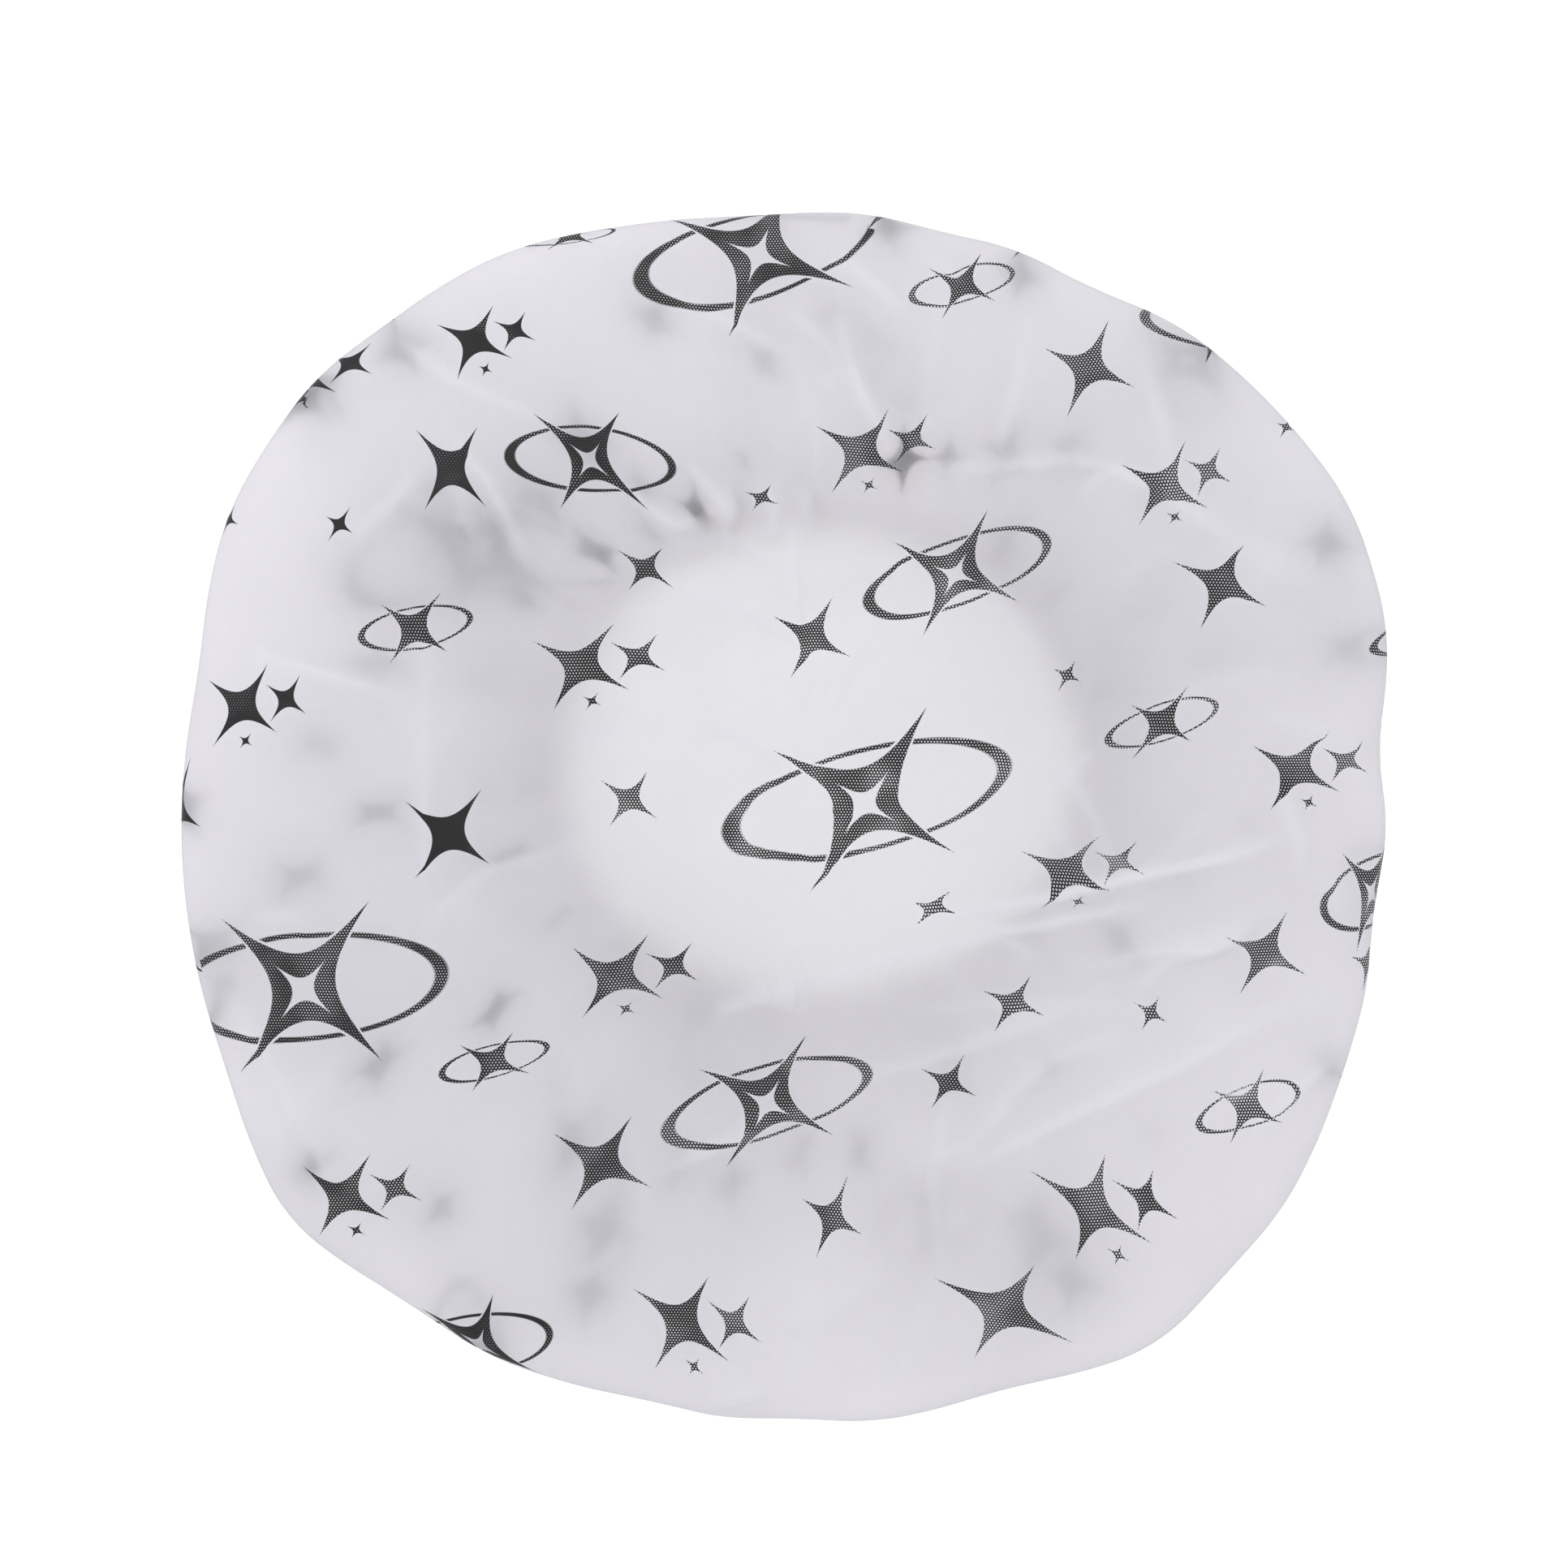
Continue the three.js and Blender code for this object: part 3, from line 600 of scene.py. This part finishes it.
# Prints on the skirt that show through the crown
SKIRT_PRINTS_PX = {
    "ringed_hollow": ((590, 678, 110, 62, 66, -108),),
    "big_star": ((1113, 570), (715, 535), (735, 682), (1235, 671), (716, 1394), (742, 1520),
                 (1270, 1505), (1376, 1157), (860, 632), (660, 610), (1241, 560)),
    "star": ((806, 395), (942, 455), (1310, 560), (1170, 560), (1275, 750), (468, 818), (475, 999),
             (631, 1050), (614, 1241), (468, 1309), (725, 1600), (835, 1430), (902, 1465), (985, 1425),
             (1060, 1425), (1320, 1580), (375, 490), (502, 434), (1094, 282), (1252, 344), (1630, 671),
             (600, 840), (650, 742), (790, 600), (800, 655), (372, 1080)),
    "small_star": ((918, 655), (914, 570), (1004, 635), (693, 1129), (677, 1349), (1292, 1309), (383, 1439),
                   (547, 1484), (1636, 1315), (540, 610), (700, 745)),
}
SPARE_KINDS = ("star", "trio", "ringed", "star", "small_star", "ringed_hollow", "trio", "small_star")
SPARE_TRIES = 1500
SPARE_FROM_RIM = 0.03
SPARE_LIFT = 0.35
PRINT_SPACING = 0.034
PRINT_SEED = 7
# How far round a print the film is read, how steep it may be there, and the circle round each kind,
# by its middle and radius in arms
REACH_PER_ARM = 1.3
LEAST_FORESHORTENING = 0.62
PRINT_REACH = {"ringed_hollow": (0, 0, 1.6), "ringed": (0, 0, 1.6), "trio": (0.43, 0.1, 1.51)}
STAR_REACH = (0, 0, 1.15)
# The ink's density from left to right, and at prints that differ
INK_ACROSS_PX = (560, 740, 1300)
EVEN_INKS = (1.09, 0.885, 0.85)
OWN_INKS = {
    (374, 1216): 0.95, (510, 774): 0.92, (607, 1308): 0.95, (423, 1474): 0.94, (726, 565): 1,
    (934, 312): 0.95, (775, 985): 0.79, (1315, 832): 0.8, (1418, 1248): 0.8, (1150, 1118): 0.8,
    (1313, 1073): 0.79, (1558, 1174): 0.785, (1537, 1363): 0.77,
}
BARE = 9.0
px_from_disc = np.diag([1, -1]) / px_size
film_px = photo_px(film_grid)


def disc_place(place_px, layer, reach_px):
    """Where a pixel falls on one layer of the film, as a place on the flat disc, and how pixels change
    with that place: by a straight fit to the layer's points within reach, with its foreshortening
    limited, or evenly where no reach is given."""
    px, flat = film_px[layer], disc[layer]
    away = np.linalg.norm(px - place_px, axis=-1)
    change = px_from_disc
    if reach_px:
        near = away < reach_px
        spread = np.column_stack([flat[near], np.ones(near.sum())])
        fit = np.linalg.lstsq(spread, px[near], rcond=None)[0][:2]
        left, sizes, right = np.linalg.svd(fit)
        change = left @ np.diag(np.maximum(sizes, LEAST_FORESHORTENING / px_size)) @ right
    nearest = np.argmin(away)
    middle = flat[nearest] + (np.array(place_px) - px[nearest]) @ np.linalg.inv(change)
    return middle, change


def placed_prints():
    """Every print as its kind, its middle on the disc, the turn of disc places into its arms, and its
    ink, which goes by its place from left to right or is its own. Spare ones are placed at random."""
    rng = np.random.default_rng(PRINT_SEED)
    prints = []

    def add(kind, middle, change, arms, place_px):
        to_arms = change @ np.linalg.inv(np.array(arms, float).reshape(2, 2))
        even_ink = np.interp(place_px[0], INK_ACROSS_PX, EVEN_INKS)
        prints.append((kind, middle, to_arms, OWN_INKS.get(place_px, even_ink)))

    on_crown = arc < rim_arc
    on_skirt = (arc > rim_arc) & (arc < neck_arc)
    for layer, table in ((on_crown, CROWN_PRINTS_PX), (on_skirt, SKIRT_PRINTS_PX)):
        for kind, rows in table.items():
            for across, down, *arms in rows:
                reach_px = max(np.abs(arms), default=0) * REACH_PER_ARM
                middle, change = disc_place((across, down), layer, reach_px)
                add(kind, middle, change, arms or STAR_ARMS_PX[kind], (across, down))
    for _ in range(SPARE_TRIES):
        radius = math.sqrt(rng.uniform((rim_arc + SPARE_FROM_RIM) ** 2, edge_arc ** 2))
        turn = rng.uniform(0, 2 * math.pi)
        middle = radius * unit(turn)
        lift = film_lift[np.searchsorted(row_arcs, radius) - 1, int(turn / (2 * math.pi) * COLUMNS)]
        spacing = min(np.linalg.norm(middle - other[1]) for other in prints)
        if spacing > PRINT_SPACING and lift < SPARE_LIFT:
            kind = SPARE_KINDS[len(prints) % len(SPARE_KINDS)]
            add(kind, middle, px_from_disc, STAR_ARMS_PX[kind], (FRAME_PX / 2 + middle[0] / px_size, None))
    return prints


def lay_print(mesh, loops, starts):
    """Gives each face to the print whose reach it lies deepest in. Its corners' map is their place in
    that print's arms, and its attributes are the print's kind and ink. Bare faces lie far off."""
    corner_disc = np.vstack([disc.reshape(-1, 2), (0, 0)])[loops]
    sizes = np.diff(np.append(starts, len(loops)))
    face_disc = np.add.reduceat(corner_disc, starts, axis=0) / sizes[:, None]
    prints = placed_prints()
    depth = np.ones(len(starts))
    owner = np.full(len(starts), -1)
    for index, (kind, middle, to_arms, _) in enumerate(prints):
        right, up, reach = PRINT_REACH.get(kind, STAR_REACH)
        away = np.linalg.norm((face_disc - middle) @ to_arms - (right, up), axis=1) / reach
        owner[away < depth] = index
        depth = np.minimum(depth, away)
    middles, turns = (np.array([one[k] for one in prints]) for k in (1, 2))
    corner_owner = np.repeat(owner, sizes)
    in_arms = np.einsum("ni,nij->nj", corner_disc - middles[corner_owner], turns[corner_owner])
    in_arms[corner_owner < 0] = BARE
    mesh.uv_layers.new(name="print").uv.foreach_set("vector", floats(in_arms))
    mesh.uv_layers.new(name="disc").uv.foreach_set("vector", floats(corner_disc))
    kinds = [(kind in ("ringed", "ringed_hollow"), kind == "ringed_hollow", kind == "trio")
             for kind, *_ in prints] + [(0, 0, 0)]
    inks = [ink for *_, ink in prints] + [0]
    kind_of_face = mesh.attributes.new("print_kind", "FLOAT_VECTOR", "FACE")
    kind_of_face.data.foreach_set("vector", floats(np.array(kinds)[owner]))
    mesh.attributes.new("ink", "FLOAT", "FACE").data.foreach_set("value", floats(np.array(inks)[owner]))


lay_print(film_mesh, film_loops, film_starts)


class Wire:
    """A socket of a material's nodes. Arithmetic on wires adds Math nodes, so formulas read plainly."""

    def __init__(self, tree, socket=None):
        self.tree = tree
        self.socket = socket

    def node(self, kind, sockets=None, out=0, **settings):
        """A shader node of a kind, with values or wires for its sockets."""
        made = self.tree.nodes.new("ShaderNode" + kind)
        for name, value in settings.items():
            setattr(made, name, value)
        for name, value in (sockets or {}).items():
            if isinstance(value, Wire):
                self.tree.links.new(value.socket, made.inputs[name])
            else:
                made.inputs[name].default_value = value
        return Wire(self.tree, made.outputs[out]) if made.outputs else None

    def math(self, operation, *others):
        return self.node("Math", dict(enumerate((self, *others))), operation=operation)

    __add__ = __radd__ = partialmethod(math, "ADD")
    __sub__ = partialmethod(math, "SUBTRACT")
    __rsub__ = partialmethod(math, "MULTIPLY_ADD", -1.0)
    __mul__ = partialmethod(math, "MULTIPLY")
    __truediv__ = partialmethod(math, "DIVIDE")
    __abs__ = partialmethod(math, "ABSOLUTE")

    def rise(self, low, high):
        """0 where the wire is below low, 1 above high, and a smooth S between them."""
        ends = {"Value": self, "From Min": low, "From Max": high}
        return self.node("MapRange", ends, interpolation_type="SMOOTHSTEP")

    def apart(self):
        """The three numbers of a vector."""
        return [self.node("SeparateXYZ", {0: self}, axis) for axis in range(3)]

    def between(self, low, high):
        """The colour that lies between two others by the wire's share."""
        return self.node("Mix", {0: self, 6: low, 7: high}, 2, data_type="RGBA")

    def wave(self):
        """A sine wave between 0 and 1 that repeats each time the wire rises by 1."""
        return (self * (2 * math.pi)).math("SINE") * 0.5 + 0.5

    def noise(self, scale, detail):
        """Soft random values at the place that the wire gives."""
        return self.node("TexNoise", {"Vector": self, "Scale": scale, "Detail": detail})


def new_material(name):
    """An empty node material, with the wire that its nodes start from."""
    material = bpy.data.materials.new(name)
    material.use_nodes = True
    material.node_tree.nodes.clear()
    return material, Wire(material.node_tree)


def place_in(wire):
    """The place in the object's own space."""
    return wire.node("TexCoord", out="Object")


def solid_surface(wire, colour, roughness, depth, height):
    """Gives a material one solid surface, with bumps of a depth that follow a height."""
    bump = wire.node("Bump", {"Distance": depth, "Height": height})
    surface = wire.node("BsdfPrincipled", {"Base Color": colour, "Roughness": roughness, "Normal": bump})
    wire.node("OutputMaterial", {"Surface": surface})


# The film's colours, its noises by scale and detail, and the share of it that glows with light from
# behind, less where it is creased white; that white is partly the film's whitening and partly painted
# highlight. Part of the glow goes straight on, hazed, in a colour above 1 that makes up for what rough
# refraction loses.
FILM_COLOUR_LOW = (0.875, 0.866, 0.945, 1)
FILM_COLOUR_HIGH = (0.92, 0.911, 0.985, 1)
FILM_CLOUDS = (14.0, 3.0)
FILM_CRINKLES = (260.0, 2.0)
CLOUD_EDGES = (0.35, 0.65)
FILM_ROUGHNESS = 0.38
CLOUD_ROUGHNESS = 0.2
FILM_BENDING = 1.45
FILM_GLOW = (0.985, 0.976, 0.98, 1)
FILM_GLOW_SHARE = 0.66
WHITE_AND_HIGHLIGHT_SHARE = 0.42
STRAIGHT_SHARE = 0.13
STRAIGHT_GLOW = (1.2, 1.189, 1.194, 1)
HAZE_ROUGHNESS = 0.85
HAZE_BENDING = 1.4

# The ink, and the screen of fine dots that the print and the embossing share
INK_COLOUR = (0.02, 0.0193, 0.0213, 1)
INK_GLOSS = 0.3
INK_ROUGHNESS = 0.5
INK_CLOUDS = (85.0, 1.0)
INK_CLOUDING = 0.12
SCREEN_WAVES = 3
DOT_PITCH = 0.00072
DOT_SOFTNESS = 0.35
DOT_SPREAD = 10.5
DOT_CLEARNESS = 0.86
EMBOSS_DEPTH = 0.00003
DOT_EMBOSS = 0.25
CRINKLE_EMBOSS = 3

# The shapes of the prints, in arms: stars, hollows, rings, and a trio's second and third star
INK_EDGE = 0.03
STAR_FLATNESS = 0.087
STAR_TIP = 1.04
HOLLOW_SCALE = 0.34
HOLLOW_SHIFT = (0.01, -0.02)
RING_TURN = math.radians(44.2)
RING_HOLE_TURN = math.radians(43.6)
RING_REACH = (1.43, 0.505)
RING_HOLE_REACH = (1.265, 0.459)
RING_HOLE_SHIFT = 0.025
RING_GAP_SCALE = 1.12
SECOND_STAR = ((0.768, 0.665), 0.565)
THIRD_STAR = ((0.564, -0.522), 0.2)


def star_mask(u, v, middle=(0, 0), scale=1.0):
    """1 in a star whose sides are hyperbolas: where the product of both offsets, each plus a little, is
    less than it is at the tips, which lie just beyond the arms."""
    across = abs((u - middle[0]) / scale) + STAR_FLATNESS
    up = abs((v - middle[1]) / scale) + STAR_FLATNESS
    edge = INK_EDGE / scale
    return 1 - (across * up / (STAR_FLATNESS * (STAR_TIP + STAR_FLATNESS))).rise(1 - edge, 1 + edge)


def ellipse_mask(u, v, turn, reach, shift=0):
    """1 in an ellipse, turned from the first arm towards the second and shifted along its length."""
    along = (u * math.cos(turn) + v * math.sin(turn) - shift) / reach[0]
    aside = (v * math.cos(turn) - u * math.sin(turn)) / reach[1]
    return 1 - (along * along + aside * aside).rise(1 - INK_EDGE, 1 + INK_EDGE)


def print_mask(wire):
    """Ink over the film: stars, less their hollows, with rings that stop short of them."""
    u, v, _ = wire.node("UVMap", uv_map="print").apart()
    kind = wire.node("Attribute", out="Vector", attribute_name="print_kind")
    ringed, hollow, trio = kind.apart()
    star = star_mask(u, v) - star_mask(u, v, HOLLOW_SHIFT, HOLLOW_SCALE) * hollow
    around = ellipse_mask(u, v, RING_TURN, RING_REACH)
    inside = ellipse_mask(u, v, RING_HOLE_TURN, RING_HOLE_REACH, RING_HOLE_SHIFT)
    ring = around * (1 - inside) * (1 - star_mask(u, v, scale=RING_GAP_SCALE))
    others = star_mask(u, v, *SECOND_STAR) + star_mask(u, v, *THIRD_STAR)
    return (star + ring * ringed + others * trio).math("MINIMUM", 1.0)


def dot_screen(wire):
    """A screen of dots, as three waves 60 degrees apart: 3 at a dot's middle, -1.5 at the least."""
    across, up, _ = wire.node("UVMap", uv_map="disc").apart()
    pace = 2 * math.pi / (DOT_PITCH * math.cos(math.pi / 6))
    turns = [math.pi / 6 + k * math.pi / SCREEN_WAVES for k in range(SCREEN_WAVES)]
    return sum((across * (pace * math.cos(turn)) + up * (pace * math.sin(turn))).math("COSINE")
               for turn in turns)


def film_material():
    """Milky film: clouded and embossed, most of it glows with the light from behind, less so along
    white creases, whose white is partly the film's whitening and partly painted highlight. Screened ink
    lies on its printed face."""
    material, wire = new_material("milky_film")
    place = place_in(wire)
    crinkle = place.noise(*FILM_CRINKLES)
    screen = dot_screen(wire)
    bump = wire.node("Bump", {
        "Distance": EMBOSS_DEPTH, "Height": screen * DOT_EMBOSS + crinkle * CRINKLE_EMBOSS})
    clouds = place.noise(*FILM_CLOUDS).rise(*CLOUD_EDGES)
    skin = wire.node("BsdfPrincipled", {
        "Base Color": clouds.between(FILM_COLOUR_LOW, FILM_COLOUR_HIGH),
        "Roughness": crinkle * CLOUD_ROUGHNESS + FILM_ROUGHNESS, "Normal": bump, "IOR": FILM_BENDING})
    spread = wire.node("BsdfTranslucent", {"Color": FILM_GLOW})
    straight = wire.node("BsdfRefraction", {
        "Color": STRAIGHT_GLOW, "Roughness": HAZE_ROUGHNESS, "IOR": HAZE_BENDING, "Normal": bump})
    glow = wire.node("MixShader", {0: STRAIGHT_SHARE, 1: spread, 2: straight})
    # The crease white: partly the film's whitening and partly a painted highlight
    white = wire.node("Attribute", out="Fac", attribute_name="white")
    film = wire.node("MixShader", {0: FILM_GLOW_SHARE - white * WHITE_AND_HIGHLIGHT_SHARE, 1: skin, 2: glow})
    laid = wire.node("Attribute", out="Fac", attribute_name="ink")
    ink_share = laid - place.noise(*INK_CLOUDS).rise(*CLOUD_EDGES) * INK_CLOUDING
    holes = (screen - SCREEN_WAVES + (1 - ink_share) * DOT_SPREAD).rise(-DOT_SOFTNESS, DOT_SOFTNESS)
    ink = wire.node("BsdfPrincipled", {
        "Base Color": INK_COLOUR, "Roughness": INK_ROUGHNESS, "Normal": bump,
        "Specular IOR Level": INK_GLOSS})
    printed = wire.node("MixShader", {0: print_mask(wire) * (1 - holes * DOT_CLEARNESS), 1: film, 2: ink})
    wire.node("OutputMaterial", {"Surface": printed})
    return material


def new_piece(name, mesh, material, slot, *nodes):
    """An object of the cap that stands for its CAD nodes."""
    mesh.materials.append(material)
    piece = new_object(name, mesh)
    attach(piece, "root")
    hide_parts(*nodes)
    return piece


printed_film = new_piece(
    "printed_film", film_mesh, film_material(), "film", "cap_film_crown", "cap_film_skirt")

# The elastic band is a flat braid round four rubber cores. It runs once round the casing of the hem
# and laps over its own start, where a zigzag tack holds both ends together.
BAND_THICKNESS = 0.0014
BAND_DRIFT = 0.00085
BAND_LAP_TURN = 0.1162
BAND_STEPS = 480
BAND_SIDES = 28
BAND_SQUARENESS = 0.45
UPWARDS = (0, 0, 1)
RIB_DEPTH_SHARE = 0.12
BAND_CORES = 4
BRAID_COLOUR_LOW = (0.87, 0.86, 0.86, 1)
BRAID_COLOUR_HIGH = (0.96, 0.96, 0.96, 1)
BRAID_STITCHES = 380
BRAID_SLANT = 4
BRAID_DEPTH = 0.00012
BRAID_ROUGHNESS = 0.85
BRAID_FUZZ = (3000.0, 2.0)
FUZZ_SHARE = 0.3


def sweep_mesh(name, path, aside, section, closed):
    """A section carried along a path: each point is the path's, plus the section's two lengths along
    the path's own sideways direction and upwards. Its map runs along the path and round the section."""
    points = path[:, None] + section[None, :, :1] * aside[:, None] + section[None, :, 1:] * UPWARDS
    ends = (None, None) if closed else (path[0], path[-1])
    mesh, _, _, corner_rows, corner_columns = grid_mesh(name, points, *ends, closed=closed)
    places = np.stack([corner_rows / len(path), corner_columns / len(section)], axis=-1)
    mesh.uv_layers.new(name="yarn").uv.foreach_set("vector", floats(places))
    return mesh


def braid_section():
    """A flat section with round edges, drawn in between its cores: a squared circle times a ribbing."""
    turn = np.arange(BAND_SIDES) * 2 * math.pi / BAND_SIDES
    across = np.sign(np.cos(turn)) * np.abs(np.cos(turn)) ** BAND_SQUARENESS * BAND_THICKNESS / 2
    height = band_high[2] - band_low[2]
    up = np.sign(np.sin(turn)) * np.abs(np.sin(turn)) ** BAND_SQUARENESS * height / 2
    ribbing = 1 - RIB_DEPTH_SHARE * np.cos(BAND_CORES * math.pi * up / height) ** 2
    return np.stack([across * ribbing, up], axis=-1)


def band_mesh():
    """The band's route: the mouth's ellipse, drifting outwards by a little over one thickness."""
    share = np.linspace(0, 1, BAND_STEPS + 1)
    turn = -BAND_LAP_TURN + share * (2 * math.pi + 2 * BAND_LAP_TURN)
    aside = np.stack([np.cos(turn), np.sin(turn), 0 * turn], axis=-1)
    drift = BAND_DRIFT * (2 * share[:, None] - 1)
    plan = mouth_middle[:2] + (mouth_reach[:2] + drift) * aside[:, :2]
    path = np.column_stack([plan, np.full(len(share), (band_low[2] + band_high[2]) / 2)])
    return sweep_mesh("elastic_band", path, aside, braid_section(), closed=False)


def braid_material():
    """Braided yarn: two slants of yarn, whose waves cross along the band, with fuzz."""
    material, wire = new_material("braided_yarn")
    along, around, _ = wire.node("UVMap", uv_map="yarn").apart()
    slant = (around * BAND_CORES).math("PINGPONG", 0.5)
    ply = (along * BRAID_STITCHES + slant * BRAID_SLANT).wave()
    fuzz = place_in(wire).noise(*BRAID_FUZZ) * FUZZ_SHARE
    colour = (ply * (1 - FUZZ_SHARE) + fuzz).between(BRAID_COLOUR_LOW, BRAID_COLOUR_HIGH)
    solid_surface(wire, colour, BRAID_ROUGHNESS, BRAID_DEPTH, ply + fuzz)
    return material


new_piece("elastic_band", band_mesh(), braid_material(), "braid", "elastic_braid")

# The rubber cores are round threads of natural rubber inside the braid, made whole in the frame.
RUBBER_COLOUR_LOW = (0.60, 0.50, 0.34, 1)
RUBBER_COLOUR_HIGH = (0.72, 0.64, 0.46, 1)
RUBBER_CLOUDS = (400.0, 3.0)
RUBBER_ROUGHNESS = 0.55


def rubber_material():
    """Natural rubber: buff, clouded, with fine powder on its skin."""
    material, wire = new_material("natural_rubber")
    cloud = place_in(wire).noise(*RUBBER_CLOUDS)
    colour = cloud.between(RUBBER_COLOUR_LOW, RUBBER_COLOUR_HIGH)
    solid_surface(wire, colour, cloud * CLOUD_ROUGHNESS + RUBBER_ROUGHNESS, EMBOSS_DEPTH, cloud)
    return material


def dress(node, material):
    """Gives a CAD node its material."""
    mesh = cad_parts[node].data
    mesh.materials.clear()
    mesh.materials.append(material)


natural_rubber = rubber_material()
for core in range(BAND_CORES):
    dress(f"rubber_core_{core + 1}", natural_rubber)

# The hem's lockstitch is two spun threads: the needle's on the outer face and the bobbin's on the
# inner one. They dip into each hole from both sides and lie taut on the pleats between holes.
STITCHES = 190
STITCH_STEPS = 8
THREAD_RADIUS = 0.00017
THREAD_SIDES = 7
THREAD_COLOUR_LOW = (0.60, 0.60, 0.62, 1)
THREAD_COLOUR_HIGH = (0.88, 0.88, 0.90, 1)
THREAD_PLY_DEPTH = 0.00004
THREAD_ROUGHNESS = 0.7
PLIES_PER_STITCH = 5
# How many of its radii a thread rises from the film between holes, and sinks into it at each hole
STITCH_RISE = 2.2
STITCH_SINK = 0.9


def thread_material(name, turns):
    """Spun thread: pale and dark by the turns of its plies, which also stand up from it."""
    material, wire = new_material(name)
    ply = turns(wire).wave()
    colour = ply.between(THREAD_COLOUR_LOW, THREAD_COLOUR_HIGH)
    solid_surface(wire, colour, THREAD_ROUGHNESS, THREAD_PLY_DEPTH, ply)
    return material


def turns_along_thread(wire):
    """Plies that wind round a thread as its own map goes along it."""
    along, around, _ = wire.node("UVMap", uv_map="yarn").apart()
    return along * (STITCHES * PLIES_PER_STITCH) + around


def seam_line(side):
    """The film's own wall at the seam's height, all round, on one side of the mouth's ellipse."""
    hem_rows = np.flatnonzero((mouth_share[:, 0] >= 1) & (hem_out[:, 0] * side > 0))
    row = hem_rows[np.argmin(np.abs(row_height[hem_rows, 0] - seam_height))]
    return film_grid[row]


def seam_thread(name, side):
    """A thread along the seam: lifted off the film between holes by the root of a half sine, and
    sunk into the film at each hole."""
    steps = np.arange(STITCHES * STITCH_STEPS)
    turn = steps / len(steps) * 2 * math.pi
    line = seam_line(side)
    path = np.column_stack([
        np.interp(turn, column_angles, line[:, axis], period=2 * math.pi) for axis in range(3)])
    path[:, 2] = seam_height
    ahead = np.roll(path, -1, axis=0) - np.roll(path, 1, axis=0)
    aside = np.cross(ahead, UPWARDS)
    aside = aside / np.linalg.norm(aside, axis=1, keepdims=True)
    arch = np.sqrt(np.abs(np.sin(math.pi * steps / STITCH_STEPS)))
    path = path + side * THREAD_RADIUS * (STITCH_RISE * arch - STITCH_SINK)[:, None] * aside
    rounds = np.arange(THREAD_SIDES) * 2 * math.pi / THREAD_SIDES
    section = THREAD_RADIUS * np.stack([np.cos(rounds), np.sin(rounds)], axis=-1)
    return sweep_mesh(name, path, aside, section, closed=True)


spun_thread = thread_material("spun_thread", turns_along_thread)
for thread, side in (("needle_thread", 1), ("bobbin_thread", -1)):
    new_piece(thread, seam_thread(thread, side), spun_thread, "thread", f"hem_{thread}")


# The tack is the same kind of thread. It zigzags through the lap of the band and is made whole in
# the frame, so its plies are slanting waves in space.
def turns_in_space(wire):
    """Plies as slanting waves: one turn for each thickness of the thread along every axis."""
    across, back, up = place_in(wire).apart()
    return (across + back + up) / (2 * THREAD_RADIUS)


dress("tack_thread", thread_material("tack_yarn", turns_in_space))

# A white table under the cap. It keeps the cap's shadow, as any lit surface does, and its glow makes
# the rest of it plain white.
TABLE_REACH = 2.5
TABLE_COLOUR = (0.8, 0.8, 0.8, 1)
TABLE_GLOW = 0.62
GLOW_THROUGH_FILM = 0.33


def table_material():
    """Matt white, with a glow for the rays that see it straight, in gloss or through the film."""
    material, wire = new_material("white_table")
    seen, in_gloss, through_film = (wire.node("LightPath", out=f"Is {ray} Ray")
                                    for ray in ("Camera", "Glossy", "Transmission"))
    shows = seen.math("MAXIMUM", in_gloss) * TABLE_GLOW + through_film * GLOW_THROUGH_FILM
    surface = wire.node("BsdfDiffuse", {"Color": TABLE_COLOUR})
    glow = wire.node("Emission", {"Strength": shows})
    both = wire.node("AddShader", {0: surface, 1: glow})
    wire.node("OutputMaterial", {"Surface": both})
    return material


table_corners = [(right * TABLE_REACH, back * TABLE_REACH, 0)
                 for right, back in ((-1, -1), (1, -1), (1, 1), (-1, 1))]
table_mesh = bpy.data.meshes.new("table")
table_mesh.from_pydata(table_corners, [], [(0, 1, 2, 3)])
table_mesh.materials.append(table_material())
table = new_object("table", table_mesh)
table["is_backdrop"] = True

# Soft studio light: an even white sky, and one broad lamp up on the left that models the folds
SKY_STRENGTH = 0.935
LAMP_PLACE = (-0.7, 1.0, 1.3)
LAMP_SIZE = 0.5
LAMP_POWER = 5.5

world = bpy.data.worlds.new("sky")
world.use_nodes = True
world.node_tree.nodes.clear()
sky = Wire(world.node_tree)
background = sky.node("Background", {"Strength": SKY_STRENGTH})
sky.node("OutputWorld", {"Surface": background})
bpy.context.scene.world = world
lamp_light = bpy.data.lights.new("lamp", "AREA")
lamp_light.size = LAMP_SIZE
lamp_light.energy = LAMP_POWER
lamp = new_object("lamp", lamp_light)
lamp.location = LAMP_PLACE
toward = -np.array(LAMP_PLACE) / np.linalg.norm(LAMP_PLACE)
lamp.rotation_euler = (math.acos(-toward[2]), 0, math.atan2(toward[1], toward[0]) - math.pi / 2)
bpy.context.scene.view_settings.view_transform = "Standard"

[[list(corner) for corner in box] for box in (cad_box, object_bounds())]
